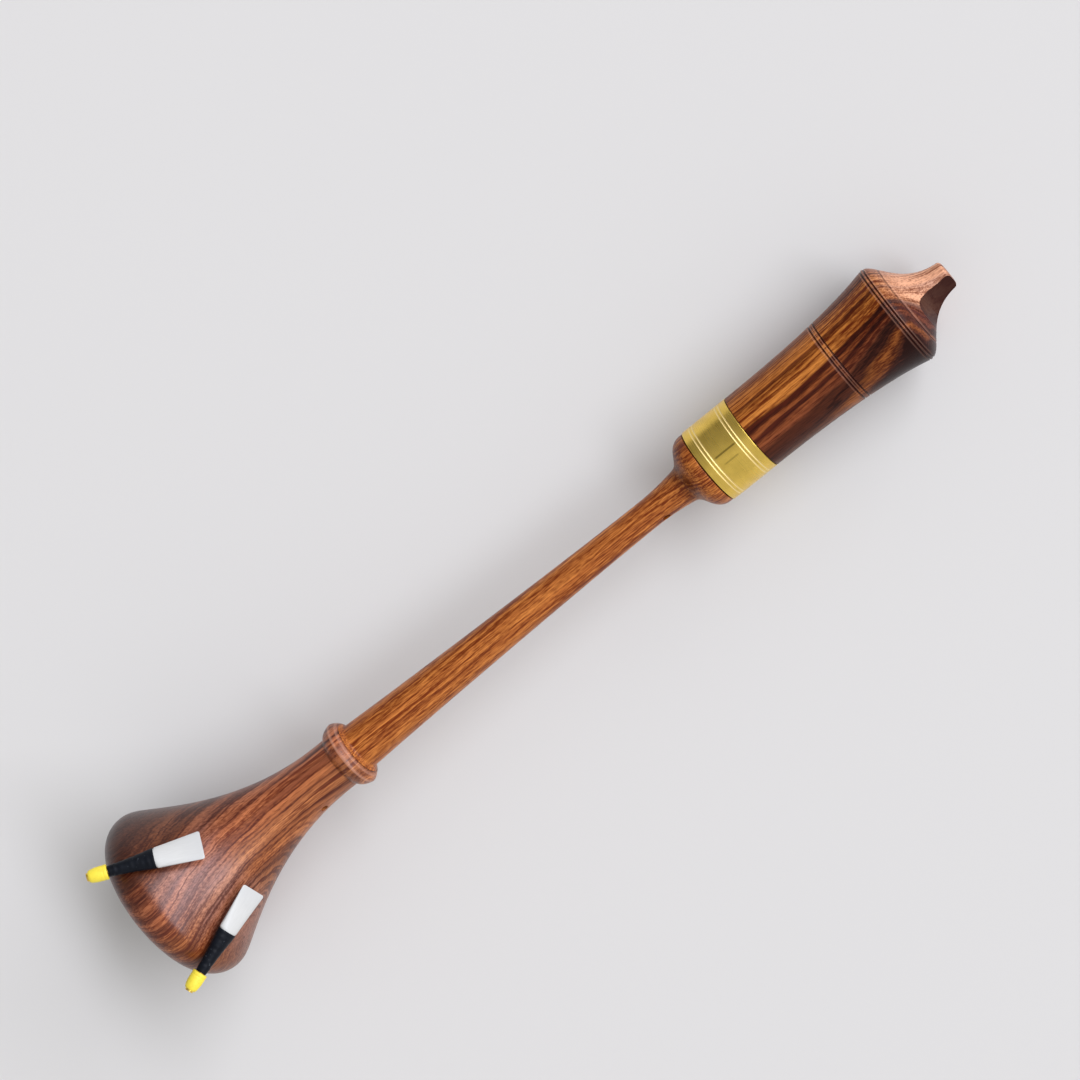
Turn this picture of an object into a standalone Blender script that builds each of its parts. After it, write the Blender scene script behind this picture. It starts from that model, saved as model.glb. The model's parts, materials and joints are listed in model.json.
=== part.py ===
"""A wind-cap shawm that lies on its bell and its cap, with two spare reeds laid on the bell.

The pieces are turned about a lathe axis, local Z, which runs from the bell's mouth at 0
to the tip of the beak. Local X points up, and azimuths turn from it towards local Y.
"""

import math

import bmesh
import bpy
from mathutils import Matrix, Vector

MM = 0.001

# Fits between neighbouring pieces
GAP = 0.3 * MM
CORK_PROUD = 0.3 * MM

# Facets
TURNED_SIDES = 36
REED_SIDES = 16
BLADE_SIDES = 6
HOLE_SIDES = 14

# Tenons, each with a cork let into a recess between two rings of wood
BELL_TENON_LENGTH = 18.0 * MM
BELL_TENON_RADIUS = 9.8 * MM
CAP_TENON_LENGTH = 24.0 * MM
CAP_TENON_RADIUS = 14.4 * MM
TENON_RING = 3.0 * MM
CORK_RECESS = 1.0 * MM

# Bell: a thick rounded lip, a long flare, a neck and a half-round bead at the socket
BELL_LENGTH = 132.2 * MM
BELL_RADIUS = 46.9 * MM
LIP_RADIUS = 13.4 * MM
LIP_TURN = math.radians(73.0)
RIM_FLAT = 2.9 * MM
FLARE_ANGLE = math.radians(19.6)
FLARE_LIP_PULL = 10.1 * MM
FLARE_NECK_PULL = 51.9 * MM
NECK_WALL = 3.2 * MM
NECK_LENGTH = 6.3 * MM
BEAD_LENGTH = 10.6 * MM
BEAD_RISE = 4.1 * MM
BEAD_CREST_TO_FACE = 3.8 * MM
BEAD_FACE_WALL = 4.5 * MM
BEAD_FOOT_SLOPE = math.radians(58.0)
BEAD_FOOT_PULL = 3.4 * MM
BEAD_CREST_SLOPE = math.radians(13.0)
BEAD_CREST_PULL = 1.9 * MM
BEAD_FACE_SLOPE = math.radians(52.0)
BEAD_FACE_PULL = 1.6 * MM
THROAT_RADIUS = 6.5 * MM
THROAT_LENGTH = 10.0 * MM
THROAT_PULL = 42.0 * MM
MOUTH_PULL = 40.0 * MM

# Chanter: a tapering stem that swells into the stock under the wind cap
STEM_LENGTH = 222.5 * MM
STEM_SHOULDER = 2.4 * MM
STEM_FLARE_LENGTH = 3.0 * MM
STEM_FLARE_STEP = 0.4 * MM
STEM_FLARE_PULL = 1.9 * MM
STEM_WAIST_RADIUS = 7.3 * MM
STEM_FOOT_SLOPE = math.radians(2.6)
STEM_FOOT_PULL = 41.0 * MM
STEM_WAIST_PULL = 40.0 * MM
STEM_NECK_RADIUS = 9.2 * MM
STEM_NECK_SLOPE = math.radians(10.0)
STEM_NECK_LENGTH = 20.5 * MM
STEM_NECK_PULL = 6.0 * MM
STOCK_LENGTH = 14.5 * MM
STOCK_BAND = 2.0 * MM
STOCK_INSET = 0.3 * MM
STOCK_COVE_PULL = 5.0 * MM
STOCK_CROWN_PULL = 8.0 * MM
STOCK_CROWN_SLOPE = math.radians(5.0)
BORE_TOP_RADIUS = 2.0 * MM
BORE_FOOT_RADIUS = 6.0 * MM

# Tone holes: the finger row faces away from the thumb hole and the bell's vent
BACK_AZIMUTH = math.radians(67.0)
FINGER_HOLES = 7
FINGER_HOLE_RADIUS = 2.4 * MM
FIRST_HOLE_BELOW_STOCK = 44.0 * MM
LAST_HOLE_ABOVE_FOOT = 43.5 * MM
THUMB_HOLE_RADIUS = 1.9 * MM
THUMB_HOLE_BELOW_STOCK = 30.2 * MM
VENT_RADIUS = 1.9 * MM
VENT_BELOW_SOCKET = 12.6 * MM

# Double reed: staple, seating sleeve, wrap and two blades
STAPLE_FOOT_RADIUS = 2.1 * MM
STAPLE_TOP_RADIUS = 1.6 * MM
STAPLE_WALL = 0.4 * MM
SLEEVE_LENGTH = 10.4 * MM
SLEEVE_WALL = 1.4 * MM
SLEEVE_TAPER = 0.9 * MM
SLEEVE_TAPER_LENGTH = 4.0 * MM
WRAP_LENGTH = 23.6 * MM
WRAP_WALL = 0.5 * MM
WRAP_ROUND = 0.7 * MM
BLADE_LENGTH = 23.7 * MM
BLADE_TAIL = 10.0 * MM
BLADE_SLIT = 0.3 * MM
BLADE_EDGE = 0.7 * MM
BLADE_ROOT_WALL = 0.5 * MM
BLADE_TIP_WALL = 0.4 * MM
BLADE_THROAT_WIDTH = 9.8 * MM
BLADE_THROAT_DEPTH = 5.8 * MM
BLADE_TIP_WIDTH = 15.4 * MM
BLADE_TIP_DEPTH = 1.6 * MM

# Wind cap: a waisted barrel, a sharp shoulder and a beak scooped flat on two sides
CAP_WALL = 3.8 * MM
CHAMBER_LEDGE = 2.5 * MM
CHAMBER_CONE = 10.0 * MM
REED_HEADROOM = 28.7 * MM
BLOW_HOLE_RADIUS = 2.5 * MM
BLOW_HOLE_LENGTH = 35.2 * MM
BARREL_FOOT_PULL = 43.6 * MM
BARREL_SHOULDER_PULL = 17.5 * MM
BARREL_SHOULDER_SLOPE = math.radians(13.5)
SHOULDER_RADIUS = 26.6 * MM
SHOULDER_TO_TIP = 31.0 * MM
BEAK_SHOULDER_PULL = 7.2 * MM
BEAK_TIP_PULL = 19.6 * MM
BEAK_TIP_SLOPE = math.radians(5.0)
BEAK_RADIUS = 7.3 * MM
BEAK_ROUND = 1.4 * MM
SCOOP_AZIMUTH = math.radians(45.0)
SCOOP_LENGTH = 20.2 * MM
SCOOP_TIP_DEPTH = 5.2 * MM
SCOOP_END_DEPTH = 17.5 * MM
SCOOP_SLOPE = math.radians(4.0)
SCOOP_TIP_PULL = 10.0 * MM
SCOOP_END_PULL = 9.0 * MM
GROOVE_WIDTH = 1.1 * MM
GROOVE_DEPTH = 0.5 * MM
BARREL_GROOVES_TO_TIP = 65.1 * MM
BARREL_GROOVE_SPACING = 2.6 * MM
SHOULDER_GROOVE_SPACING = 1.4 * MM

# Brass ferrule round the cap's socket, with a pair of fine lines near each edge
FERRULE_LENGTH = 26.0 * MM
FERRULE_WALL = 1.0 * MM
FERRULE_STEP = 1.2 * MM
FERRULE_LINE_TO_EDGE = 4.2 * MM
FERRULE_LINE_SPACING = 1.8 * MM
FERRULE_LINE_WIDTH = 0.8 * MM
FERRULE_LINE_DEPTH = 0.25 * MM

# Spare reeds: azimuth on the bell, distance of the wrap's end from the mouth, and skew
SPARE_REEDS = {
    "spare_reed_1": (math.radians(-29.8), 28.2 * MM, math.radians(-12.4)),
    "spare_reed_2": (math.radians(44.4), 29.8 * MM, math.radians(0.4)),
}

# Finishes: sRGB colour, roughness and metallic value
FINISHES = {
    "bell_rosewood": ((0.42, 0.22, 0.14), 0.35, 0.0),
    "stem_rosewood": ((0.55, 0.29, 0.13), 0.38, 0.0),
    "cap_rosewood": ((0.43, 0.22, 0.11), 0.3, 0.0),
    "brass": ((0.78, 0.66, 0.3), 0.3, 1.0),
    "cork": ((0.72, 0.55, 0.37), 0.9, 0.0),
    "black_wrap": ((0.06, 0.07, 0.09), 0.45, 0.0),
    "yellow_sleeve": ((0.98, 0.86, 0.15), 0.5, 0.0),
    "reed_plastic": ((0.9, 0.9, 0.88), 0.4, 0.0),
}
SMOOTH_ANGLE = math.radians(35.0)

# Radii that follow from the sizes above
BELL_SOCKET_RADIUS = BELL_TENON_RADIUS + CORK_PROUD + GAP
NECK_RADIUS = BELL_SOCKET_RADIUS + NECK_WALL
BEAD_CREST_RADIUS = NECK_RADIUS + BEAD_RISE
BEAD_FACE_RADIUS = BELL_SOCKET_RADIUS + BEAD_FACE_WALL
STEM_FOOT_RADIUS = BELL_TENON_RADIUS + STEM_SHOULDER
CAP_SOCKET_RADIUS = CAP_TENON_RADIUS + CORK_PROUD + GAP
CHAMBER_RADIUS = CAP_SOCKET_RADIUS - CHAMBER_LEDGE
FERRULE_SEAT_RADIUS = CAP_SOCKET_RADIUS + CAP_WALL
CAP_RADIUS = FERRULE_SEAT_RADIUS + FERRULE_STEP
STOCK_RADIUS = CAP_RADIUS - STOCK_INSET
SLEEVE_RADIUS = STAPLE_FOOT_RADIUS + GAP + SLEEVE_WALL

# Places along a reed from the foot of its staple
WRAP_FOOT = SLEEVE_LENGTH + GAP
WRAP_END = SLEEVE_LENGTH + WRAP_LENGTH
BLADE_ROOT = WRAP_END - BLADE_TAIL
STAPLE_LENGTH = WRAP_END - WRAP_ROUND
REED_LENGTH = WRAP_END + BLADE_LENGTH

# Places along the lathe axis
SOCKET_FLOOR = BELL_LENGTH - BELL_TENON_LENGTH
BEAD_FOOT = BELL_LENGTH - BEAD_LENGTH
FLARE_END = BEAD_FOOT - NECK_LENGTH
LIP_CREST = LIP_RADIUS * math.sin(LIP_TURN)
STEM_FOOT = BELL_LENGTH + GAP
STOCK_FACE = STEM_FOOT + STEM_LENGTH
TENON_TOP = STOCK_FACE + CAP_TENON_LENGTH
REED_SEAT = TENON_TOP - SLEEVE_LENGTH - GAP
REED_FOOT = REED_SEAT + GAP
CAP_FOOT = STOCK_FACE + GAP
BARREL_FOOT = CAP_FOOT + FERRULE_LENGTH + 2 * GAP
CHAMBER_FOOT = TENON_TOP + GAP
CHAMBER_END = REED_FOOT + REED_LENGTH + REED_HEADROOM
CAP_TIP = CHAMBER_END + CHAMBER_CONE + BLOW_HOLE_LENGTH
SHOULDER = CAP_TIP - SHOULDER_TO_TIP


def clear_scene():
    for thing in list(bpy.data.objects):
        bpy.data.objects.remove(thing)


def linear(channel):
    """One sRGB channel as a linear value."""
    if channel <= 0.04045:
        return channel / 12.92
    return ((channel + 0.055) / 1.055) ** 2.4


def make_finish(name):
    colour, roughness, metallic = FINISHES[name]
    finish = bpy.data.materials.new(name)
    finish.use_nodes = True
    shader = finish.node_tree.nodes["Principled BSDF"]
    shader.inputs["Base Color"].default_value = (*[linear(c) for c in colour], 1.0)
    shader.inputs["Roughness"].default_value = roughness
    shader.inputs["Metallic"].default_value = metallic
    return finish


def add_empty(name, parent=None, place=None):
    empty = bpy.data.objects.new(name, None)
    bpy.context.scene.collection.objects.link(empty)
    empty.parent = parent
    if place is not None:
        empty.matrix_local = place
    return empty


def add_piece(name, shape, finish, parent):
    """Turns a bmesh into a named, smooth-shaded object under its empty."""
    bmesh.ops.recalc_face_normals(shape, faces=shape.faces)
    mesh = bpy.data.meshes.new(name)
    shape.to_mesh(mesh)
    shape.free()
    mesh.shade_smooth()
    mesh.set_sharp_from_angle(angle=SMOOTH_ANGLE)
    mesh.materials.append(finish)
    piece = bpy.data.objects.new(name, mesh)
    bpy.context.scene.collection.objects.link(piece)
    piece.parent = parent
    return piece


def cut(piece, cutter):
    """Takes a hidden cutter out of a piece."""
    cutter.hide_render = True
    cutter.display_type = "WIRE"
    boolean = piece.modifiers.new(cutter.name, "BOOLEAN")
    boolean.operation = "DIFFERENCE"
    boolean.object = cutter


def blend(low, high, share):
    return low + share * (high - low)


def curve(start, start_slope, start_pull, end, end_slope, end_pull, steps):
    """Points after the start of a cubic curve between two places of (along, radius)."""
    leave = (math.cos(start_slope) * start_pull, math.sin(start_slope) * start_pull)
    arrive = (math.cos(end_slope) * end_pull, math.sin(end_slope) * end_pull)
    points = []
    for step in range(1, steps + 1):
        u = step / steps
        v = 1 - u
        point = []
        for axis in (0, 1):
            pulls = 3 * u * v**2 * (start[axis] + leave[axis])
            pulls += 3 * u**2 * v * (end[axis] - arrive[axis])
            point.append(v**3 * start[axis] + pulls + u**3 * end[axis])
        points.append(tuple(point))
    return points


def arc(centre, radius, begin, end, steps):
    """Points on an arc, with angles from straight out, positive towards the beak."""
    points = []
    for step in range(steps + 1):
        angle = blend(begin, end, step / steps)
        along = centre[0] + radius * math.sin(angle)
        points.append((along, centre[1] + radius * math.cos(angle)))
    return points


def groove(outline, centre, width, depth):
    """Lets a V groove into an outline at a place along the axis."""
    low, high = centre - width / 2, centre + width / 2
    before = [point for point in outline if point[0] < low]
    after = [point for point in outline if point[0] > high]
    first, last = before[-1], after[0]

    def radius_at(along):
        return blend(first[1], last[1], (along - first[0]) / (last[0] - first[0]))

    before.append((low, radius_at(low)))
    before.append((centre, radius_at(centre) - depth))
    before.append((high, radius_at(high)))
    return before + after


def turn(outline):
    """Spins a closed outline of (along, radius) about Z, with a flat side facing down."""
    shape = bmesh.new()
    half_side = math.pi / TURNED_SIDES
    corners = []
    for along, radius in outline:
        corner = (radius * math.cos(half_side), radius * math.sin(half_side), along)
        corners.append(shape.verts.new(corner))
    edges = [shape.edges.new(pair) for pair in zip(corners, corners[1:] + corners[:1])]
    bmesh.ops.spin(
        shape,
        geom=corners + edges,
        axis=(0, 0, 1),
        cent=(0, 0, 0),
        angle=2 * math.pi,
        steps=TURNED_SIDES,
        use_merge=True,
    )
    return shape


def loft(sections, looped):
    """Skins matching closed sections, back to the first if looped and otherwise capped."""
    shape = bmesh.new()
    rings = [[shape.verts.new(point) for point in section] for section in sections]
    pairs = list(zip(rings, rings[1:]))
    if looped:
        pairs.append((rings[-1], rings[0]))
    else:
        shape.faces.new(rings[0])
        shape.faces.new(rings[-1])
    for first, second in pairs:
        sides = zip(first, first[1:] + first[:1], second[1:] + second[:1], second)
        for corners in sides:
            shape.faces.new(corners)
    return shape


def radial(azimuth, along=0.0):
    """A frame on the lathe axis whose X points out at an azimuth."""
    return Matrix.Translation((0, 0, along)) @ Matrix.Rotation(azimuth, 4, "Z")


def drills(name, holes, parent):
    """One cutter of round drills, each given by azimuth, place along the axis, radius and reach."""
    shape = bmesh.new()
    lay_down = Matrix.Rotation(math.pi / 2, 4, "Y")
    for azimuth, along, radius, reach in holes:
        bmesh.ops.create_cone(
            shape,
            cap_ends=True,
            segments=HOLE_SIDES,
            radius1=radius,
            radius2=radius,
            depth=reach,
            matrix=radial(azimuth, along) @ Matrix.Translation((reach / 2, 0, 0)) @ lay_down,
        )
    return add_piece(name, shape, None, parent)


def bell_outside():
    """From the rim's outer edge over the lip, flare and bead to the socket's face."""
    lip_centre = (LIP_CREST, BELL_RADIUS - LIP_RADIUS)
    points = arc(lip_centre, LIP_RADIUS, -LIP_TURN, FLARE_ANGLE, 7)
    neck = (FLARE_END, NECK_RADIUS)
    points += curve(points[-1], -FLARE_ANGLE, FLARE_LIP_PULL, neck, 0, FLARE_NECK_PULL, 9)
    bead_foot = (BEAD_FOOT, NECK_RADIUS)
    crest = (BELL_LENGTH - BEAD_CREST_TO_FACE, BEAD_CREST_RADIUS)
    face = (BELL_LENGTH, BEAD_FACE_RADIUS)
    points.append(bead_foot)
    points += curve(bead_foot, BEAD_FOOT_SLOPE, BEAD_FOOT_PULL, crest, BEAD_CREST_SLOPE, BEAD_CREST_PULL, 4)
    points += curve(crest, -BEAD_CREST_SLOPE, BEAD_FACE_PULL, face, -BEAD_FACE_SLOPE, BEAD_FACE_PULL, 3)
    return points


def build_bell(parent, wood):
    outside = bell_outside()
    mouth = (0.0, outside[0][1] - RIM_FLAT)
    throat = (SOCKET_FLOOR - THROAT_LENGTH, THROAT_RADIUS)
    inside = [mouth] + curve(mouth, 0, MOUTH_PULL, throat, 0, THROAT_PULL, 8)
    inside.append((SOCKET_FLOOR, THROAT_RADIUS))
    inside.append((SOCKET_FLOOR, BELL_SOCKET_RADIUS))
    inside.append((BELL_LENGTH, BELL_SOCKET_RADIUS))
    bell = add_piece("bell", turn(outside + inside[::-1]), wood, parent)
    vent = (BACK_AZIMUTH, SOCKET_FLOOR - VENT_BELOW_SOCKET, VENT_RADIUS, BELL_RADIUS)
    cut(bell, drills("vent_drill", [vent], parent))


def tenon(foot, length, radius):
    """A tenon's outside from its foot to its far end, with the cork's recess."""
    low, high = foot + TENON_RING, foot + length - TENON_RING
    floor = radius - CORK_RECESS
    recess = [(low, radius), (low, floor), (high, floor), (high, radius)]
    return [(foot, radius)] + recess + [(foot + length, radius)]


def build_cork(name, foot, length, radius, parent, finish):
    """The cork in a tenon's recess, standing a little proud of the wood."""
    low, high = foot + TENON_RING + GAP, foot + length - TENON_RING - GAP
    inner, outer = radius - CORK_RECESS + GAP, radius + CORK_PROUD
    outline = [(low, inner), (low, outer), (high, outer), (high, inner)]
    add_piece(name, turn(outline), finish, parent)


def stem_outside():
    """From the stem's foot past its waist and neck to the stock's face."""
    face = (STEM_FOOT, BEAD_FACE_RADIUS - STEM_FLARE_STEP)
    foot = (STEM_FOOT + STEM_FLARE_LENGTH, STEM_FOOT_RADIUS)
    neck = (STOCK_FACE - STOCK_LENGTH, STEM_NECK_RADIUS)
    waist = (neck[0] - STEM_NECK_LENGTH, STEM_WAIST_RADIUS)
    band = (STOCK_FACE - STOCK_BAND, STOCK_RADIUS)
    points = [face]
    points += curve(face, -BEAD_FACE_SLOPE, STEM_FLARE_PULL, foot, -STEM_FOOT_SLOPE, STEM_FLARE_PULL, 3)
    points += curve(foot, -STEM_FOOT_SLOPE, STEM_FOOT_PULL, waist, 0, STEM_WAIST_PULL, 6)
    points += curve(waist, 0, STEM_NECK_PULL, neck, STEM_NECK_SLOPE, STEM_NECK_PULL, 3)
    points += curve(neck, STEM_NECK_SLOPE, STOCK_COVE_PULL, band, STOCK_CROWN_SLOPE, STOCK_CROWN_PULL, 7)
    return points + [(STOCK_FACE, STOCK_RADIUS)]


def build_chanter(parent, wood, cork):
    """The stem, stock and both tenons in one turning, with its bore and tone holes."""
    foot = STEM_FOOT - BELL_TENON_LENGTH
    seat_radius = SLEEVE_RADIUS + GAP
    outline = tenon(foot, BELL_TENON_LENGTH, BELL_TENON_RADIUS)
    outline += stem_outside()
    outline += tenon(STOCK_FACE, CAP_TENON_LENGTH, CAP_TENON_RADIUS)
    outline += [(TENON_TOP, seat_radius), (REED_SEAT, seat_radius), (REED_SEAT, BORE_TOP_RADIUS)]
    outline.append((foot, BORE_FOOT_RADIUS))
    chanter = add_piece("chanter", turn(outline), wood, parent)
    reach = 2 * STEM_FOOT_RADIUS
    thumb = STOCK_FACE - THUMB_HOLE_BELOW_STOCK
    holes = [(BACK_AZIMUTH, thumb, THUMB_HOLE_RADIUS, reach)]
    first, last = STOCK_FACE - FIRST_HOLE_BELOW_STOCK, STEM_FOOT + LAST_HOLE_ABOVE_FOOT
    for number in range(FINGER_HOLES):
        along = blend(first, last, number / (FINGER_HOLES - 1))
        holes.append((BACK_AZIMUTH + math.pi, along, FINGER_HOLE_RADIUS, reach))
    cut(chanter, drills("tone_hole_drills", holes, parent))
    build_cork("bell_tenon_cork", foot, BELL_TENON_LENGTH, BELL_TENON_RADIUS, parent, cork)
    build_cork("cap_tenon_cork", STOCK_FACE, CAP_TENON_LENGTH, CAP_TENON_RADIUS, parent, cork)


def cap_outside():
    """From the barrel's foot over the shoulder to the tip of the beak, with its grooves."""
    barrel = (BARREL_FOOT, CAP_RADIUS)
    shoulder = (SHOULDER, SHOULDER_RADIUS)
    beak = (CAP_TIP - BEAK_ROUND, BEAK_RADIUS)
    tip_centre = (beak[0], BEAK_RADIUS - BEAK_ROUND)
    rise = (BARREL_SHOULDER_SLOPE, BARREL_SHOULDER_PULL)
    points = [barrel]
    points += curve(barrel, 0, BARREL_FOOT_PULL, shoulder, *rise, 8)
    points += curve(shoulder, 0, BEAK_SHOULDER_PULL, beak, -BEAK_TIP_SLOPE, BEAK_TIP_PULL, 10)
    points += arc(tip_centre, BEAK_ROUND, math.pi / 6, math.pi / 2, 2)
    barrel_pair = CAP_TIP - BARREL_GROOVES_TO_TIP
    for middle, spacing in ((barrel_pair, BARREL_GROOVE_SPACING), (SHOULDER, SHOULDER_GROOVE_SPACING)):
        for side in (-1, 1):
            points = groove(points, middle + side * spacing / 2, GROOVE_WIDTH, GROOVE_DEPTH)
    return points


def scoop_cutter(name, azimuth, parent):
    """A cutter whose inner face is one hollow flat of the beak."""
    beyond_tip = CAP_TIP + BEAK_ROUND
    beyond_side = 2 * SHOULDER_RADIUS
    tip = (-CAP_TIP, SCOOP_TIP_DEPTH)
    end = (SCOOP_LENGTH - CAP_TIP, SCOOP_END_DEPTH)
    outline = [(-beyond_tip, SCOOP_TIP_DEPTH), tip]
    outline += curve(tip, SCOOP_SLOPE, SCOOP_TIP_PULL, end, math.pi / 2, SCOOP_END_PULL, 9)
    outline += [(end[0], beyond_side), (-beyond_tip, beyond_side)]
    sections = []
    for side in (-SHOULDER_RADIUS, SHOULDER_RADIUS):
        sections.append([(depth, side, -along) for along, depth in outline])
    cutter = add_piece(name, loft(sections, looped=False), None, parent)
    cutter.matrix_local = radial(azimuth)
    return cutter


def build_wind_cap(parent, wood):
    """The cap with its socket, reed chamber, blow hole and the two flats of the beak."""
    outline = [(CAP_FOOT, FERRULE_SEAT_RADIUS), (BARREL_FOOT, FERRULE_SEAT_RADIUS)]
    outline += cap_outside()
    outline += [
        (CAP_TIP, BLOW_HOLE_RADIUS),
        (CHAMBER_END + CHAMBER_CONE, BLOW_HOLE_RADIUS),
        (CHAMBER_END, CHAMBER_RADIUS),
        (CHAMBER_FOOT, CHAMBER_RADIUS),
        (CHAMBER_FOOT, CAP_SOCKET_RADIUS),
        (CAP_FOOT, CAP_SOCKET_RADIUS),
    ]
    cap = add_piece("wind_cap", turn(outline), wood, parent)
    cut(cap, scoop_cutter("front_scoop", SCOOP_AZIMUTH, parent))
    cut(cap, scoop_cutter("back_scoop", SCOOP_AZIMUTH + math.pi, parent))


def build_ferrule(parent, brass):
    low = CAP_FOOT + GAP
    high = low + FERRULE_LENGTH
    inner = FERRULE_SEAT_RADIUS + GAP
    outer = inner + FERRULE_WALL
    outside = [(low, outer), (high, outer)]
    for edge, inwards in ((low, 1), (high, -1)):
        for line in (0, 1):
            along = edge + inwards * (FERRULE_LINE_TO_EDGE + line * FERRULE_LINE_SPACING)
            outside = groove(outside, along, FERRULE_LINE_WIDTH, FERRULE_LINE_DEPTH)
    add_piece("cap_ferrule", turn([(low, inner)] + outside + [(high, inner)]), brass, parent)


def oval(along, half_width, half_depth):
    """A reed section, with its depth along X and its width along Y."""
    points = []
    for side in range(REED_SIDES):
        angle = 2 * math.pi * (side + 0.5) / REED_SIDES
        points.append((half_depth * math.cos(angle), half_width * math.sin(angle), along))
    return points


def staple_radius(along):
    return blend(STAPLE_FOOT_RADIUS, STAPLE_TOP_RADIUS, along / STAPLE_LENGTH)


def blade_half_size(along):
    """Half the width and half the depth of the closed blade pair."""
    root_depth = staple_radius(BLADE_ROOT) + GAP + BLADE_ROOT_WALL
    root = (root_depth + BLADE_EDGE, root_depth)
    throat = (BLADE_THROAT_WIDTH / 2, BLADE_THROAT_DEPTH / 2)
    tip = (BLADE_TIP_WIDTH / 2, BLADE_TIP_DEPTH / 2)
    if along <= WRAP_END:
        share = (along - BLADE_ROOT) / BLADE_TAIL
        return [blend(low, high, share) for low, high in zip(root, throat)]
    share = (along - WRAP_END) / BLADE_LENGTH
    return [blend(low, high, share) for low, high in zip(throat, tip)]


def wrap_half_size(along):
    """Half the width and half the depth of the wrap's outside."""
    cover = GAP + WRAP_WALL
    root = [size + cover for size in blade_half_size(BLADE_ROOT)]
    if along > BLADE_ROOT:
        return [size + cover for size in blade_half_size(along)]
    foot = staple_radius(WRAP_FOOT) + cover
    share = (along - WRAP_FOOT) / (BLADE_ROOT - WRAP_FOOT)
    return [blend(foot, size, share) for size in root]


def build_staple(name, parent, brass):
    sections = []
    for along, wall in ((0, 0), (STAPLE_LENGTH, 0), (STAPLE_LENGTH, STAPLE_WALL), (0, STAPLE_WALL)):
        radius = staple_radius(along) - wall
        sections.append(oval(along, radius, radius))
    add_piece(name, loft(sections, looped=True), brass, parent)


def build_sleeve(name, parent, finish):
    bore = STAPLE_FOOT_RADIUS + GAP
    tip = SLEEVE_RADIUS - SLEEVE_TAPER
    outline = [
        (GAP, tip),
        (GAP + SLEEVE_TAPER_LENGTH, SLEEVE_RADIUS),
        (SLEEVE_LENGTH, SLEEVE_RADIUS),
        (SLEEVE_LENGTH, bore),
        (GAP, bore),
    ]
    sections = [oval(along, radius, radius) for along, radius in outline]
    add_piece(name, loft(sections, looped=True), finish, parent)


def build_wrap(name, parent, finish):
    """The wrap over the staple and the blades' tails, with a cavity that clears both."""
    sections = []
    for along in (WRAP_FOOT, BLADE_ROOT, WRAP_END - WRAP_ROUND):
        sections.append(oval(along, *wrap_half_size(along)))
    sections.append(oval(WRAP_END, *[size - WRAP_WALL / 2 for size in wrap_half_size(WRAP_END)]))
    cavity_floor = BLADE_ROOT - GAP
    for along, at in ((WRAP_END, WRAP_END), (cavity_floor, BLADE_ROOT)):
        sections.append(oval(along, *[size + GAP for size in blade_half_size(at)]))
    for along in (cavity_floor, WRAP_FOOT):
        radius = staple_radius(along) + GAP
        sections.append(oval(along, radius, radius))
    add_piece(name, loft(sections, looped=True), finish, parent)


def blade_section(along, side):
    """A crescent on one side of the slit between the two blades."""
    half_width, half_depth = blade_half_size(along)
    share = (along - BLADE_ROOT) / (REED_LENGTH - BLADE_ROOT)
    slit = BLADE_SLIT / 2
    crown = half_depth - slit
    hollow = crown - blend(BLADE_ROOT_WALL, BLADE_TIP_WALL, share)
    outer, inner = [], []
    for step in range(BLADE_SIDES + 1):
        angle = math.pi * step / BLADE_SIDES
        across, bulge = math.cos(angle), math.sin(angle)
        outer.append((side * (slit + crown * bulge), half_width * across, along))
        inner.append((side * (slit + hollow * bulge), (half_width - BLADE_EDGE) * across, along))
    return outer + inner[::-1]


def build_blade(name, side, parent, finish):
    sections = [blade_section(BLADE_ROOT, side)]
    free_steps = 4
    for step in range(free_steps + 1):
        sections.append(blade_section(blend(WRAP_END, REED_LENGTH, step / free_steps), side))
    add_piece(name, loft(sections, looped=False), finish, parent)


def build_reed(prefix, parent, finishes):
    """One double reed, from the foot of its staple at the parent's origin along Z."""
    build_staple(f"{prefix}_staple", parent, finishes["brass"])
    build_sleeve(f"{prefix}_sleeve", parent, finishes["yellow_sleeve"])
    build_wrap(f"{prefix}_wrap", parent, finishes["black_wrap"])
    build_blade(f"{prefix}_blade_upper", 1, parent, finishes["reed_plastic"])
    build_blade(f"{prefix}_blade_lower", -1, parent, finishes["reed_plastic"])


def reed_underside(along):
    """How far the reed's underside lies below its axis."""
    if along <= WRAP_FOOT:
        return SLEEVE_RADIUS
    if along <= WRAP_END:
        return wrap_half_size(along)[1]
    return blade_half_size(along)[1]


def flare_samples():
    """Closely spaced points along the bell's outside."""
    outside = bell_outside()
    steps = 40
    samples = []
    for first, second in zip(outside, outside[1:]):
        for step in range(steps):
            samples.append(Vector(first).lerp(Vector(second), step / steps))
    return samples


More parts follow.
